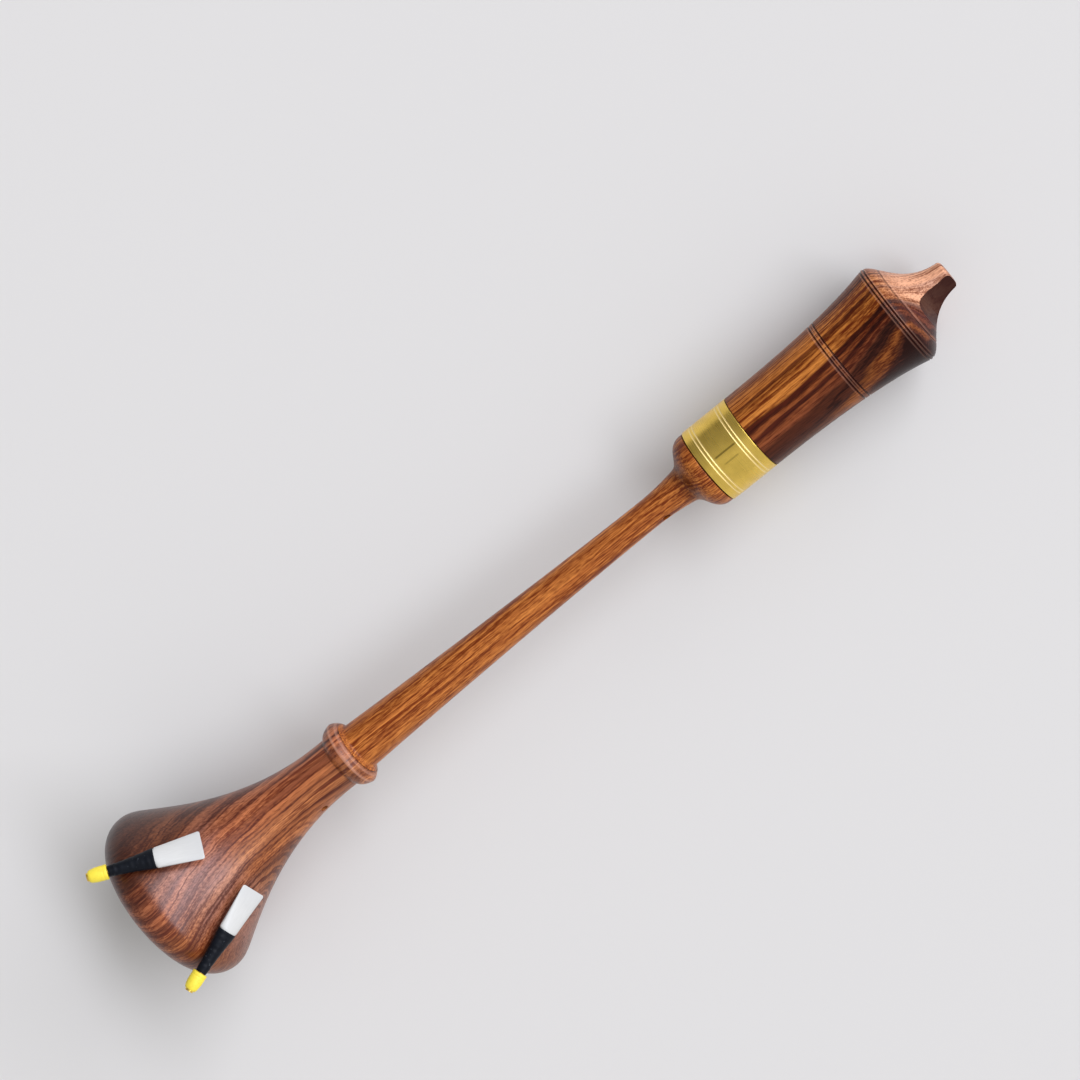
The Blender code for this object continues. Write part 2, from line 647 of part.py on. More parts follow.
def spare_reed_place(azimuth, wrap_end_at, skew):
    """The frame of a reed that lies along the flare: Z along the reed and X away from the bell."""
    samples = flare_samples()
    half_wrap = WRAP_LENGTH / 2
    near = min(samples, key=lambda point: abs(point.x - wrap_end_at))
    far = min(samples, key=lambda point: abs(point.x - wrap_end_at + half_wrap))
    wrap_swell = wrap_half_size(WRAP_END)[1] - wrap_half_size(WRAP_FOOT)[1]
    dip = math.atan2(far.y - near.y, near.x - far.x) - math.atan2(wrap_swell, WRAP_LENGTH)
    along = Vector((math.cos(dip), -math.sin(dip)))
    out = Vector((math.sin(dip), math.cos(dip)))
    foot = near - along * WRAP_END
    lift = 0.0
    for sample in samples:
        reach = (sample - foot).dot(along)
        if 0 <= reach <= REED_LENGTH:
            lift = max(lift, (sample - foot).dot(out) + reed_underside(reach))
    middle = foot + along * (WRAP_END - half_wrap) + out * (lift + GAP)
    frame = Matrix((
        (out.y, 0, along.y, middle.y),
        (0, 1, 0, 0),
        (out.x, 0, along.x, middle.x),
        (0, 0, 0, 1),
    ))
    return radial(azimuth) @ frame @ Matrix.Rotation(skew, 4, "X")


def add_spare_reed(prefix, place, bell_axis, finishes):
    """A reed whose lifting axis passes through the middle of its wrap."""
    lift_axis = add_empty(f"{prefix}_lift_axis", bell_axis, spare_reed_place(*place))
    staple_foot = Matrix.Translation((0, 0, WRAP_LENGTH / 2 - WRAP_END))
    build_reed(prefix, add_empty(f"{prefix}_axis", lift_axis, staple_foot), finishes)


def lay_on_floor(instrument):
    """Lays the lip and the shoulder on the floor, with the whole box centred on X and Y."""
    drop = (BELL_RADIUS - SHOULDER_RADIUS) * math.cos(math.pi / TURNED_SIDES)
    dip = math.atan2(drop, SHOULDER - LIP_CREST)
    cosine, sine = math.cos(dip), math.sin(dip)
    laid = Matrix(((sine, 0, cosine, 0), (0, -1, 0, 0), (cosine, 0, -sine, 0), (0, 0, 0, 1)))
    instrument.matrix_local = laid
    bpy.context.view_layer.update()
    corners = []
    for piece in bpy.data.objects:
        if piece.type == "MESH" and not piece.hide_render:
            corners += [piece.matrix_world @ vertex.co for vertex in piece.data.vertices]
    low = Vector([min(corner[axis] for corner in corners) for axis in range(3)])
    high = Vector([max(corner[axis] for corner in corners) for axis in range(3)])
    bottom_centre = Vector(((low.x + high.x) / 2, (low.y + high.y) / 2, low.z))
    instrument.matrix_local = Matrix.Translation(-bottom_centre) @ laid
    bpy.context.view_layer.update()


def main():
    clear_scene()
    finishes = {name: make_finish(name) for name in FINISHES}
    instrument = add_empty("instrument_axis")
    bell_axis = add_empty("bell_axis", instrument)
    cap_axis = add_empty("wind_cap_axis", instrument)
    reed_axis = add_empty("reed_axis", instrument, Matrix.Translation((0, 0, REED_FOOT)))
    build_chanter(instrument, finishes["stem_rosewood"], finishes["cork"])
    build_bell(bell_axis, finishes["bell_rosewood"])
    build_wind_cap(cap_axis, finishes["cap_rosewood"])
    build_ferrule(cap_axis, finishes["brass"])
    build_reed("reed", reed_axis, finishes)
    for prefix, place in SPARE_REEDS.items():
        add_spare_reed(prefix, place, bell_axis, finishes)
    lay_on_floor(instrument)


main()
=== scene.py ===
import json
import math

import bpy
from mathutils import Matrix, Vector


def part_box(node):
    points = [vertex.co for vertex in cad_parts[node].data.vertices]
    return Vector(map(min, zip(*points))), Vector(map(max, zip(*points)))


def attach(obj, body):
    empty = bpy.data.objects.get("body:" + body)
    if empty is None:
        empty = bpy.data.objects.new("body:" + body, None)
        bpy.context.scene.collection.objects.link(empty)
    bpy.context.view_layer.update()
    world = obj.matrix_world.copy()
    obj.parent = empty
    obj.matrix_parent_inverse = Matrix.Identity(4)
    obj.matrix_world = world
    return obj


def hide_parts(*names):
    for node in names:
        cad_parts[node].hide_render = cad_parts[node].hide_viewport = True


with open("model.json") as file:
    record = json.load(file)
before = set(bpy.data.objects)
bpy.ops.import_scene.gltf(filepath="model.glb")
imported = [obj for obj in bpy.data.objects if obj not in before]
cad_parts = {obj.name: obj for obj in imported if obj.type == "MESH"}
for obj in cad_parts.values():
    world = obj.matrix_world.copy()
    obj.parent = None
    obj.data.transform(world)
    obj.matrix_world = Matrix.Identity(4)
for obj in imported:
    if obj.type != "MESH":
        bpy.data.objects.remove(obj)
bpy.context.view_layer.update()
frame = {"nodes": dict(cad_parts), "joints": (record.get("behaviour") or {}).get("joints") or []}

# A wind-cap shawm of turned rosewood that lies on its bell's lip and its cap's shoulder, with two
# spare reeds on the bell. Sizes are in millimetres, and on the stage in metres. An outline gives places
# of (along, radius): along the lathe axis from the bell's mouth, and out from that axis. A third value
# rounds a corner. Azimuths turn from straight up towards the side with the thumb hole.
MM = 0.001
GAP = 0.3
CORK_PROUD = 0.3

# Fineness of the turned work
BIG_SIDES = 144
STEM_SIDES = 96
REED_SIDES = 64
DRILL_SIDES = 40
ROUND_STEPS = 4

# Tenons, each with a cork in a recess between two rings of wood
BELL_TENON_LENGTH = 18.0
BELL_TENON_RADIUS = 9.8
CAP_TENON_LENGTH = 24.0
CAP_TENON_RADIUS = 14.4
TENON_RING = 3.0
CORK_RECESS = 1.0

# Brass ferrule round the cap's socket
FERRULE_LENGTH = 26.0
FERRULE_RADIUS = 20.1
FERRULE_BORE_RADIUS = 19.1
FERRULE_LINES_FROM_EDGE = (4.2, 6.0)
FERRULE_LINE_WIDTH = 0.8
FERRULE_LINE_DEPTH = 0.25

# Places along the lathe axis
STEM_FOOT = 132.5
BELL_TENON_FOOT = STEM_FOOT - BELL_TENON_LENGTH
SOCKET_FLOOR = BELL_TENON_FOOT - GAP
STOCK_FACE = 355.0
TENON_TOP = STOCK_FACE + CAP_TENON_LENGTH
REED_SEAT = 368.3
CAP_FOOT = STOCK_FACE + GAP
BARREL_FOOT = CAP_FOOT + FERRULE_LENGTH + 2 * GAP
CHAMBER_FOOT = TENON_TOP + GAP
CHAMBER_END = 455.0
SHOULDER = 469.2
CAP_TIP = 500.2

# Tone holes: the finger row faces away from the thumb hole and the bell's vent
BACK_AZIMUTH = math.radians(67.0)
FINGER_HOLES = 7
FIRST_FINGER_HOLE = 311.0
LAST_FINGER_HOLE = 176.0
FINGER_HOLE_RADIUS = 2.4
THUMB_HOLE = 324.8
SMALL_HOLE_RADIUS = 1.9
VENT = 101.6

# Cap: grooves turned in pairs round the barrel and the shoulder, and one fine line on the beak
BARREL_RADIUS = 20.0
SHOULDER_RADIUS = 26.6
BEAK_RADIUS = 7.2
FERRULE_SEAT_RADIUS = 18.8
CAP_SOCKET_RADIUS = 15.0
CHAMBER_RADIUS = 12.5
CHAMBER_CONE = 10.0
BLOW_HOLE_RADIUS = 2.5
GROOVE_WIDTH = 1.0
GROOVE_DEPTH = 0.4
GROOVES = (433.8, 436.4, 468.6, 470.3)
FINE_LINE = 475.6
FINE_LINE_WIDTH = 0.7
FINE_LINE_DEPTH = 0.2

# Hollow flats of the beak, one opposite the other, with depths out from the lathe axis
SCOOP_AZIMUTH = math.radians(45.0)
SCOOP_LENGTH = 20.2
SCOOP_TIP_DEPTH = 5.2
SCOOP_END_DEPTH = 17.5

# Double reed, along its own axis from the foot of its staple
SLEEVE_FOOT = 1.0
SLEEVE_END = 10.4
WRAP_FOOT = SLEEVE_END + GAP
WRAP_END = 34.0
BLADE_ROOT = 24.0
BLADE_SHOULDER = WRAP_END + 0.8
STAPLE_LENGTH = 33.3
REED_LENGTH = 57.7
SLEEVE_RADIUS = 3.8
SLEEVE_BORE_RADIUS = 2.4
STAPLE_FOOT_RADIUS = 2.1
STAPLE_END_RADIUS = 1.6
STAPLE_WALL = 0.4
BLADE_SLIT = 0.3
BLADE_EDGE = 0.7
BLADE_ROOT_WALL = 0.5
BLADE_TIP_WALL = 0.4
WRAP_WALL = 0.5


def middle(node):
    low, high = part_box(node)
    return (low + high) / 2


# The lathe's own frame: X up, Y towards the thumb hole's side and Z from the bell to the beak
BELL_CORK_AT = STEM_FOOT - BELL_TENON_LENGTH / 2
ALONG = (middle("cap_tenon_cork") - middle("bell_tenon_cork")).normalized()
SIDE = Vector((0, -1, 0))
UP = SIDE.cross(ALONG)
MOUTH = middle("bell_tenon_cork") - ALONG * BELL_CORK_AT * MM
LATHE = Matrix.Translation(MOUTH) @ Matrix((UP, SIDE, ALONG)).transposed().to_4x4()


# Drawing of outlines

def blend(low, high, share):
    return low + share * (high - low)


def curve(start, start_slope, start_pull, end, end_slope, end_pull, steps):
    """Points after the start of a cubic curve between two places of (along, radius)."""
    start, end = Vector(start[:2]), Vector(end[:2])
    leave = start + start_pull * Vector((math.cos(start_slope), math.sin(start_slope)))
    arrive = end - end_pull * Vector((math.cos(end_slope), math.sin(end_slope)))
    points = []
    for step in range(1, steps + 1):
        u = step / steps
        v = 1 - u
        point = v**3 * start + 3 * u * v**2 * leave + 3 * u**2 * v * arrive + u**3 * end
        points.append(tuple(point))
    return points


def arc(centre, radius, begin, end, steps):
    """Points on an arc, with angles in degrees from straight out, positive towards the beak."""
    points = []
    for step in range(steps + 1):
        angle = math.radians(blend(begin, end, step / steps))
        points.append((centre[0] + radius * math.sin(angle), centre[1] + radius * math.cos(angle)))
    return points


def soften(outline):
    """Rounds each corner of a closed outline that has a third value."""
    room = 0.45
    drawn = []
    for number, corner in enumerate(outline):
        here = Vector(corner[:2])
        if len(corner) == 2:
            drawn.append(here)
            continue
        before = Vector(outline[number - 1][:2]) - here
        after = Vector(outline[(number + 1) % len(outline)][:2]) - here
        reach = min(corner[2], room * before.length, room * after.length)
        first = here + before.normalized() * reach
        last = here + after.normalized() * reach
        for step in range(ROUND_STEPS + 1):
            u = step / ROUND_STEPS
            drawn.append(first.lerp(here, u).lerp(here.lerp(last, u), u))
    return drawn


def groove(outline, centre, width, depth):
    """Lets a groove with a rounded floor and rounded lips into an outline."""
    low, high = centre - width / 2, centre + width / 2
    before = [point for point in outline if point[0] < low]
    after = [point for point in outline if point[0] > high]
    first, last = before[-1], after[0]
    slope = (last[1] - first[1]) / (last[0] - first[0])
    steps = 10
    lip = 0.5
    cut_points = []
    for step in range(steps + 1):
        along = blend(low, high, step / steps)
        surface = first[1] + slope * (along - first[0])
        dip = 0.5 - 0.5 * math.cos(2 * math.pi * step / steps)
        cut_points.append((along, surface - depth * dip))
    lips = [low - lip, high + lip]
    if lips[0] > first[0] + lip:
        before.append((lips[0], first[1] + slope * (lips[0] - first[0])))
    if lips[1] < last[0] - lip:
        after.insert(0, (lips[1], first[1] + slope * (lips[1] - first[0])))
    return before + cut_points + after


# Modelling

def select_only(piece):
    bpy.ops.object.select_all(action="DESELECT")
    piece.select_set(True)
    bpy.context.view_layer.objects.active = piece


def draw_loop(name, points):
    """Draws a closed line of edges from point to point, and leaves it open for editing."""
    bpy.ops.object.select_all(action="DESELECT")
    bpy.ops.mesh.primitive_plane_add(size=MM)
    bpy.context.object.name = name
    bpy.context.object.data.name = name
    bpy.ops.object.mode_set(mode="EDIT")
    bpy.ops.mesh.merge(type="CENTER")
    places = [Vector(point) * MM for point in points]
    bpy.ops.transform.translate(value=places[0])
    for last, place in zip(places, places[1:] + places[:1]):
        bpy.ops.mesh.extrude_vertices_move(TRANSFORM_OT_translate={"value": place - last})
    close_seams()


def close_seams():
    bpy.ops.mesh.select_all(action="SELECT")
    bpy.ops.mesh.remove_doubles(threshold=0.002 * MM)


def turn(name, outline, sides):
    """Spins a closed outline about the lathe axis."""
    draw_loop(name, [(point[1], 0, point[0]) for point in soften(outline)])
    bpy.ops.mesh.spin(steps=sides, angle=2 * math.pi, center=(0, 0, 0), axis=(0, 0, 1))
    close_seams()
    bpy.ops.mesh.normals_make_consistent(inside=False)
    bpy.ops.object.mode_set(mode="OBJECT")
    return bpy.context.object


def draw_tube(name, sections, sides):
    """A hollow oval tube, drawn ring by ring from (along, half depth, half width) and closed on itself."""
    bpy.ops.object.select_all(action="DESELECT")
    along, depth, width = sections[0]
    bpy.ops.mesh.primitive_circle_add(vertices=sides, radius=MM, location=(0, 0, along * MM))
    bpy.context.object.name = name
    bpy.context.object.data.name = name
    bpy.ops.object.transform_apply(location=True, rotation=True, scale=True)
    bpy.ops.object.mode_set(mode="EDIT")
    bpy.ops.mesh.select_all(action="SELECT")
    bpy.ops.transform.resize(value=(depth, width, 1), center_override=(0, 0, along * MM))
    for last, section in zip(sections, sections[1:] + sections[:1]):
        rise = (0, 0, (section[0] - last[0]) * MM)
        bpy.ops.mesh.extrude_region_move(TRANSFORM_OT_translate={"value": rise})
        grow = (section[1] / last[1], section[2] / last[2], 1)
        bpy.ops.transform.resize(value=grow, center_override=(0, 0, section[0] * MM))
    close_seams()
    bpy.ops.mesh.normals_make_consistent(inside=False)
    bpy.ops.object.mode_set(mode="OBJECT")
    return bpy.context.object


def cut(piece, cutter):
    """Takes a cutter out of a piece and throws the cutter away."""
    select_only(piece)
    boolean = piece.modifiers.new("cut", "BOOLEAN")
    boolean.operation = "DIFFERENCE"
    boolean.object = cutter
    bpy.ops.object.modifier_apply(modifier=boolean.name)
    bpy.data.objects.remove(cutter)


def drill(piece, azimuth, along, radius, surface):
    """Drills a tone hole in from the surface, with its edge eased by hand."""
    ease, start, end = 0.5, 2.0, surface + 6.0
    outline = [(start, 0.0), (start, radius), (surface - ease, radius)]
    outline += curve(outline[-1], 0, 0.4, (surface + ease, radius + 2 * ease), math.radians(70), 0.8, 6)
    outline += [(end, radius + 3 * ease), (end, 0.0)]
    bit = turn("drill", outline, DRILL_SIDES)
    out = Matrix.Rotation(azimuth, 4, "Z") @ Matrix.Rotation(math.pi / 2, 4, "Y")
    bit.matrix_world = Matrix.Translation((0, 0, along * MM)) @ out
    bpy.context.view_layer.update()
    cut(piece, bit)


def set_down(piece, place):
    """Shades a piece smooth between its edges and puts it in its place in the frame."""
    sharpest_smooth_edge = math.radians(32)
    select_only(piece)
    bpy.ops.object.shade_smooth_by_angle(angle=sharpest_smooth_edge)
    piece.matrix_world = place
    bpy.ops.object.transform_apply(location=True, rotation=True, scale=True)


def fit(piece, body, finish, nodes):
    """Gives a piece its finish and its place among the bodies."""
    piece.data.materials.clear()
    piece.data.materials.append(finish)
    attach(piece, body)
    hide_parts(*nodes)


# Materials

def srgb(code):
    """The linear colour of an sRGB hex code."""
    channels = [int(code[place:place + 2], 16) / 255 for place in (1, 3, 5)]
    linear = [c / 12.92 if c <= 0.04045 else ((c + 0.055) / 1.055) ** 2.4 for c in channels]
    return (*linear, 1.0)


def wire(tree, kind, inputs, output=0, stops=(), **settings):
    """Adds a node with its settings, values, links and colour stops, and gives back one output.

    Inputs go by name or number: on MapRange 1 and 2 are the limits that become 3 and 4, or 0 and 1, and
    on Mix 6 and 7 are the two colours.
    """
    node = tree.nodes.new("ShaderNode" + kind)
    for setting, value in settings.items():
        setattr(node, setting, value)
    for socket, value in inputs.items():
        if isinstance(value, bpy.types.NodeSocket):
            tree.links.new(value, node.inputs[socket])
        else:
            node.inputs[socket].default_value = value
    for number, (place, code) in enumerate(stops):
        elements = node.color_ramp.elements
        element = elements[number] if number < 2 else elements.new(place)
        element.position = place
        element.color = srgb(code)
    return node.outputs[output]


def new_finish(name):
    """A new material, its nodes and its shader."""
    finish = bpy.data.materials.new(name)
    finish.use_nodes = True
    return finish, finish.node_tree, finish.node_tree.nodes["Principled BSDF"]


def rule_on(tree, place):
    """Where a point lies, in millimetres along the axes of a place such as the lathe."""
    here = wire(tree, "TexCoord", {}, output="Object")
    setting = {0: here, 1: place.to_translation(), 2: place.to_euler(), 3: (MM, MM, MM)}
    return wire(tree, "Mapping", setting, vector_type="TEXTURE")


def growth_rings(tree, wood, pith, bow, wander, offset):
    """The distance through the growth rings, the level beside the pith, and how far the rings bow."""
    pith = Vector((*pith, 0.0))
    beside = Vector((0, 0, 1)).cross(pith).normalized()
    level = wire(tree, "VectorMath", {0: wood, 1: beside}, output="Value", operation="DOT_PRODUCT")
    ring = wire(tree, "VectorMath", {0: wood, 1: (1.0, 1.0, 0.0), 2: -pith}, operation="MULTIPLY_ADD")
    ring = wire(tree, "VectorMath", {0: ring}, output="Value", operation="LENGTH")
    ring = wire(tree, "Math", {0: ring, 1: pith.length}, operation="SUBTRACT")
    reach = 30.0
    bowed = wire(tree, "MapRange", {0: level, 1: 0.0, 2: -reach, 4: reach * bow})
    ring = wire(tree, "Math", {0: ring, 1: bowed}, operation="ADD")
    # The rings wander over a length of 80 mm, and waver by 0.5 mm over a length of 25 mm
    for spread, most in (((0.035, 0.035, 0.012), wander), ((0.25, 0.25, 0.04), 0.5)):
        drift = wire(tree, "VectorMath", {0: wood, 1: spread, 2: offset}, operation="MULTIPLY_ADD")
        drift = wire(tree, "TexNoise", {"Vector": drift, "Scale": 1.0, "Detail": 2.0})
        drift = wire(tree, "MapRange", {0: drift, 1: 0.2, 2: 0.8, 3: -most, 4: most})
        ring = wire(tree, "Math", {0: ring, 1: drift}, operation="ADD")
    return ring, level, bowed


def wear_and_sheen_stretch(tree, ring, length, centre, outer, inner, most, rings, codes):
    """How far a pale stretch round one place reaches, and its tint, paler on the pale rings: wear by lips
    with a painted sheen on the cap's beak, and a painted sheen on the bell's flare.
    """
    pale_share = wire(tree, "Math", {0: length, 1: centre}, operation="SUBTRACT")
    pale_share = wire(tree, "Math", {0: pale_share}, operation="ABSOLUTE")
    pale_share = wire(tree, "MapRange", {0: pale_share, 1: outer, 2: inner, 4: most}, interpolation_type="SMOOTHSTEP")
    pale = wire(tree, "MapRange", {0: ring, 1: rings[0], 2: rings[1]})
    tints = {0: pale, 6: srgb(codes[0]), 7: srgb(codes[1])}
    return pale_share, wire(tree, "Mix", tints, output=2, data_type="RGBA")


def grain_tone(tree, wood, layer, tone, figure, lines, streaks, fibres, pores, offset):
    """Adds the grain to a tone, and gives it back with the pattern of the pores.

    Streaks are about 0.8 mm by 110 mm, fibres 0.9 mm by 30 mm, and pores, really 0.15 mm wide, are drawn
    0.6 mm by 5 mm so that they show.
    """
    layers = (
        (layer, (1.2, 0.07, 0.009), streaks, figure),
        (wood, (1.1, 1.1, 0.035), fibres, 1.0),
        (wood, (1.7, 1.7, 0.2), pores, 1.0),
    )
    for place, spread, depth, strength in layers:
        grain = wire(tree, "VectorMath", {0: place, 1: spread, 2: offset}, operation="MULTIPLY_ADD")
        grain = wire(tree, "TexNoise", {"Vector": grain, "Scale": 1.0, "Detail": 3.0, "Roughness": 0.6})
        dark = wire(tree, "Math", {0: grain, 1: 2 * depth, 2: -depth}, operation="MULTIPLY_ADD")
        tone = wire(tree, "Math", {0: dark, 1: strength, 2: tone}, operation="MULTIPLY_ADD")
    # Thin lines, about 2 mm apart, where a growth ring ends, some of them faint for a part of their length
    edge = wire(tree, "VectorMath", {0: layer, 1: (0.45, 0.02, 0.004), 2: offset}, operation="MULTIPLY_ADD")
    edge = wire(tree, "TexNoise", {"Vector": edge, "Scale": 1.0, "Detail": 1.0})
    edge = wire(tree, "Math", {0: edge, 1: 0.5}, operation="SUBTRACT")
    edge = wire(tree, "Math", {0: edge}, operation="ABSOLUTE")
    edge = wire(tree, "MapRange", {0: edge, 1: 0.075, 2: 0.02}, interpolation_type="SMOOTHSTEP")
    faint = wire(tree, "VectorMath", {0: layer, 1: (0.15, 0.03, 0.012), 2: offset}, operation="MULTIPLY_ADD")
    faint = wire(tree, "TexNoise", {"Vector": faint, "Scale": 1.0, "Detail": 1.0})
    faint = wire(tree, "MapRange", {0: faint, 1: 0.35, 2: 0.6, 3: 0.2 * lines, 4: lines})
    edge = wire(tree, "Math", {0: edge, 1: figure}, operation="MULTIPLY")
    tone = wire(tree, "Math", {0: edge, 1: faint, 2: tone}, operation="MULTIPLY_ADD")
    return tone, grain


def rosewood(name, bands, stain, pith, bow, wander, deepen, calm, wear_and_sheen, grain, polish, offset):
    """Rosewood, turned, sanded, oiled and polished.

    Growth rings of unlike colour lie round the pith, outside or near the edge of the blank, and cross
    the turned shape, so they show as long bands that fan out over a flare. Thin dark lines and broken
    streaks follow the rings, fibres and short open pores follow the length, end grain drinks more oil
    and looks darker, a pale stretch holds wear by lips with a painted sheen on the beak and a painted
    sheen on the bell's flare, and the polish gives a soft clear gloss. Pale marks are painted highlights,
    and dark marks are scorched lines or painted shade.
    From one place along the lathe to another, the grain deepens by a rise and its figure calms.
    """
    finish, tree, shader = new_finish(name)
    wood = rule_on(tree, LATHE)
    length = wire(tree, "SeparateXYZ", {0: wood}, output="Z")
    ring, level, bowed = growth_rings(tree, wood, pith, bow, wander, offset)
    layer = wire(tree, "CombineXYZ", {0: ring, 1: level, 2: length})

    # Bands of colour by the distance through the rings
    first, last = bands[0][0], bands[-1][0]
    share = wire(tree, "MapRange", {0: ring, 1: first, 2: last})
    stops = [((place - first) / (last - first), code) for place, code in bands]
    colour = wire(tree, "ValToRGB", {0: share}, stops=stops)

    # Tone says how deep the dark stain of the grain goes over the band's pale colour: deeper where the
    # rings bow, and less deep in the pale stretch of wear and painted sheen
    start, end, rise = deepen
    tone = wire(tree, "MapRange", {0: length, 1: start, 2: end, 3: -rise / 2, 4: rise / 2})
    tone = wire(tree, "Math", {0: bowed, 1: 0.08, 2: tone}, operation="MULTIPLY_ADD")
    # The pale stretch: wear with a painted sheen on the beak, and a painted sheen on the bell
    if wear_and_sheen:
        pale_share, wear_and_sheen_tint = wear_and_sheen_stretch(tree, ring, length, **wear_and_sheen)
        colour = wire(tree, "Mix", {0: pale_share, 6: colour, 7: wear_and_sheen_tint}, output=2, data_type="RGBA")
        tone = wire(tree, "Math", {0: pale_share, 1: -0.65, 2: tone}, operation="MULTIPLY_ADD")
    figure = wire(tree, "MapRange", {0: length, 1: start, 2: end, 3: 1.0, 4: calm})
    tone, pores = grain_tone(tree, wood, layer, tone, figure, offset=offset, **grain)
    depth = wire(tree, "MapRange", {0: tone, 1: -0.62, 2: 0.62}, interpolation_type="SMOOTHSTEP")
    stained = {0: depth, 6: colour, 7: srgb(stain)}
    colour = wire(tree, "Mix", stained, output=2, data_type="RGBA", blend_type="MULTIPLY")

    # End grain, then dark marks that are scorched lines or painted shade, and pale marks that are painted
    # highlights
    facing = wire(tree, "NewGeometry", {}, output="Normal")
    facing = wire(tree, "VectorMath", {0: facing, 1: ALONG}, output="Value", operation="DOT_PRODUCT")
    facing = wire(tree, "Math", {0: facing}, operation="ABSOLUTE")
    facing = wire(tree, "MapRange", {0: facing, 1: 0.8, 2: 1.0, 4: 0.6})
    drunk = {0: facing, 6: colour, 7: srgb(stain)}
    colour = wire(tree, "Mix", drunk, output=2, data_type="RGBA", blend_type="MULTIPLY")
    marks_and_painted_light = wire(tree, "Attribute", {}, output="Fac", attribute_name="marks_and_painted_light")
    painted_highlight = wire(tree, "Math", {0: marks_and_painted_light, 1: -1.0}, operation="MULTIPLY", use_clamp=True)
    highlight_tint, scorch_and_shade_tint = srgb("#d09a80"), srgb("#2e0b05")
    colour = wire(tree, "Mix", {0: painted_highlight, 6: colour, 7: highlight_tint}, output=2, data_type="RGBA")
    colour = wire(tree, "Mix", {0: marks_and_painted_light, 6: colour, 7: scorch_and_shade_tint}, output=2, data_type="RGBA")
    tree.links.new(colour, shader.inputs["Base Color"])

    # Open pores are duller than the polish and lie a little below it
    pits = wire(tree, "MapRange", {0: pores, 1: 0.55, 2: 0.7}, interpolation_type="SMOOTHSTEP")
    gloss = wire(tree, "MapRange", {0: pits, 3: 0.33, 4: 0.48})
    tree.links.new(gloss, shader.inputs["Roughness"])
    shader.inputs["Specular IOR Level"].default_value = polish
    shader.inputs["Coat Weight"].default_value = 0.07
    shader.inputs["Coat Roughness"].default_value = 0.15
    relief = {"Height": pits, "Strength": 0.3, "Distance": -0.08 * MM}
    tree.links.new(wire(tree, "Bump", relief), shader.inputs["Normal"])
    return finish


def cap_rosewood():
    """The cap's wood: orange with dark bands on the thumb hole's side, and a beak rubbed paler by lips, with
    a painted sheen in its pale tint.
    """
    bands = [
        (-28.0, "#96531f"), (-12.0, "#a05a22"), (-7.6, "#b0662c"), (-7.0, "#6a3016"), (-6.4, "#6a3016"),
        (-5.8, "#bb7030"), (-3.0, "#ca7d38"), (3.2, "#c87a36"), (3.8, "#7c3f1a"), (4.3, "#7c3f1a"),
        (5.4, "#ad682c"), (7.2, "#c87b34"), (12.3, "#ce8038"), (12.9, "#4e1c0b"), (14.3, "#48190a"),
        (14.8, "#9a5428"), (15.7, "#904e26"), (16.1, "#4a1a0b"), (16.9, "#4a1a0b"), (17.4, "#94502a"),
        (18.8, "#844628"), (19.6, "#4a2212"), (21.4, "#4e2414"), (22.5, "#a25e28"), (23.4, "#9a5826"),
        (24.4, "#522616"), (28.0, "#442012"), (34.0, "#401d10"),
    ]
    # Wear by lips on the beak, with a painted sheen in its pale tint on the pale rings
    lip_wear_and_sheen = {
        "centre": 497.0,
        "outer": 30.0,
        "inner": 16.0,
        "most": 0.72,
        "rings": (15.0, 10.0),
        "codes": ("#5e302a", "#efb696"),
    }
    return rosewood(
        "rosewood_cap",
        bands,
        stain="#7c5238",
        pith=(-102.0, -110.0),
        bow=0.36,
        wander=1.2,
        deepen=(430.0, 455.0, 0.4),
        calm=1.0,
        wear_and_sheen=lip_wear_and_sheen,
        grain={"lines": 0.5, "streaks": 0.8, "fibres": 0.7, "pores": 0.7},
        polish=0.1,
        offset=(3.1, 7.7, 1.9),
    )


def stem_rosewood():
    """The stem's wood: orange brown all along, with fine straight grain."""
    bands = [
        (-20.0, "#b66c30"), (-9.0, "#d2823e"), (-6.0, "#be7232"), (-3.0, "#d0803c"), (-1.0, "#b2642a"),
        (1.5, "#d2823c"), (5.0, "#c47436"), (8.0, "#d2823c"), (12.0, "#be6e30"), (20.0, "#b66c30"),
    ]
    return rosewood(
        "rosewood_stem",
        bands,
        stain="#8c6240",
        pith=(-26.0, 148.0),
        bow=0.0,
        wander=2.0,
        deepen=(STEM_FOOT, STOCK_FACE, 0.0),
        calm=1.0,
        wear_and_sheen=None,
        grain={"lines": 0.45, "streaks": 0.85, "fibres": 1.0, "pores": 1.0},
        polish=0.16,
        offset=(11.3, 2.9, 5.2),
    )


def bell_rosewood():
    """The bell's wood: reddish brown bands that fan out, darker and calmer towards the lip, with a painted
    sheen in a pale pinkish stretch round the middle of the flare.
    """
    bands = [
        (-38.0, "#9a5c34"), (-24.0, "#a86636"), (-19.0, "#844a2a"), (-15.5, "#c07642"), (-11.0, "#92522c"),
        (-7.0, "#c87e48"), (-3.0, "#96542e"), (-0.5, "#be7242"), (1.8, "#a65e38"), (3.4, "#88482c"),
        (6.0, "#c87a4c"), (8.0, "#c27448"), (9.6, "#88482e"), (12.5, "#b87048"), (14.0, "#b06a44"),
        (16.0, "#7c442c"), (20.0, "#a05e3a"), (23.0, "#663824"), (28.0, "#824c30"), (34.0, "#562e1e"),
        (44.0, "#583020"),
    ]
    # A painted sheen: a pale pinkish stretch round the middle of the flare
    painted_sheen = {
        "centre": 38.0,
        "outer": 24.0,
        "inner": 6.0,
        "most": 0.25,
        "rings": (22.0, 12.0),
        "codes": ("#6a3814", "#ad8d8e"),
    }
    return rosewood(
        "rosewood_bell",
        bands,
        stain="#865c44",
        pith=(12.0, 40.0),
        bow=0.0,
        wander=2.0,
        deepen=(85.0, 25.0, 0.35),
        calm=0.5,
        wear_and_sheen=painted_sheen,
        grain={"lines": 0.8, "streaks": 1.1, "fibres": 0.75, "pores": 0.5},
        polish=0.34,
        offset=(5.9, 13.1, 8.4),
    )


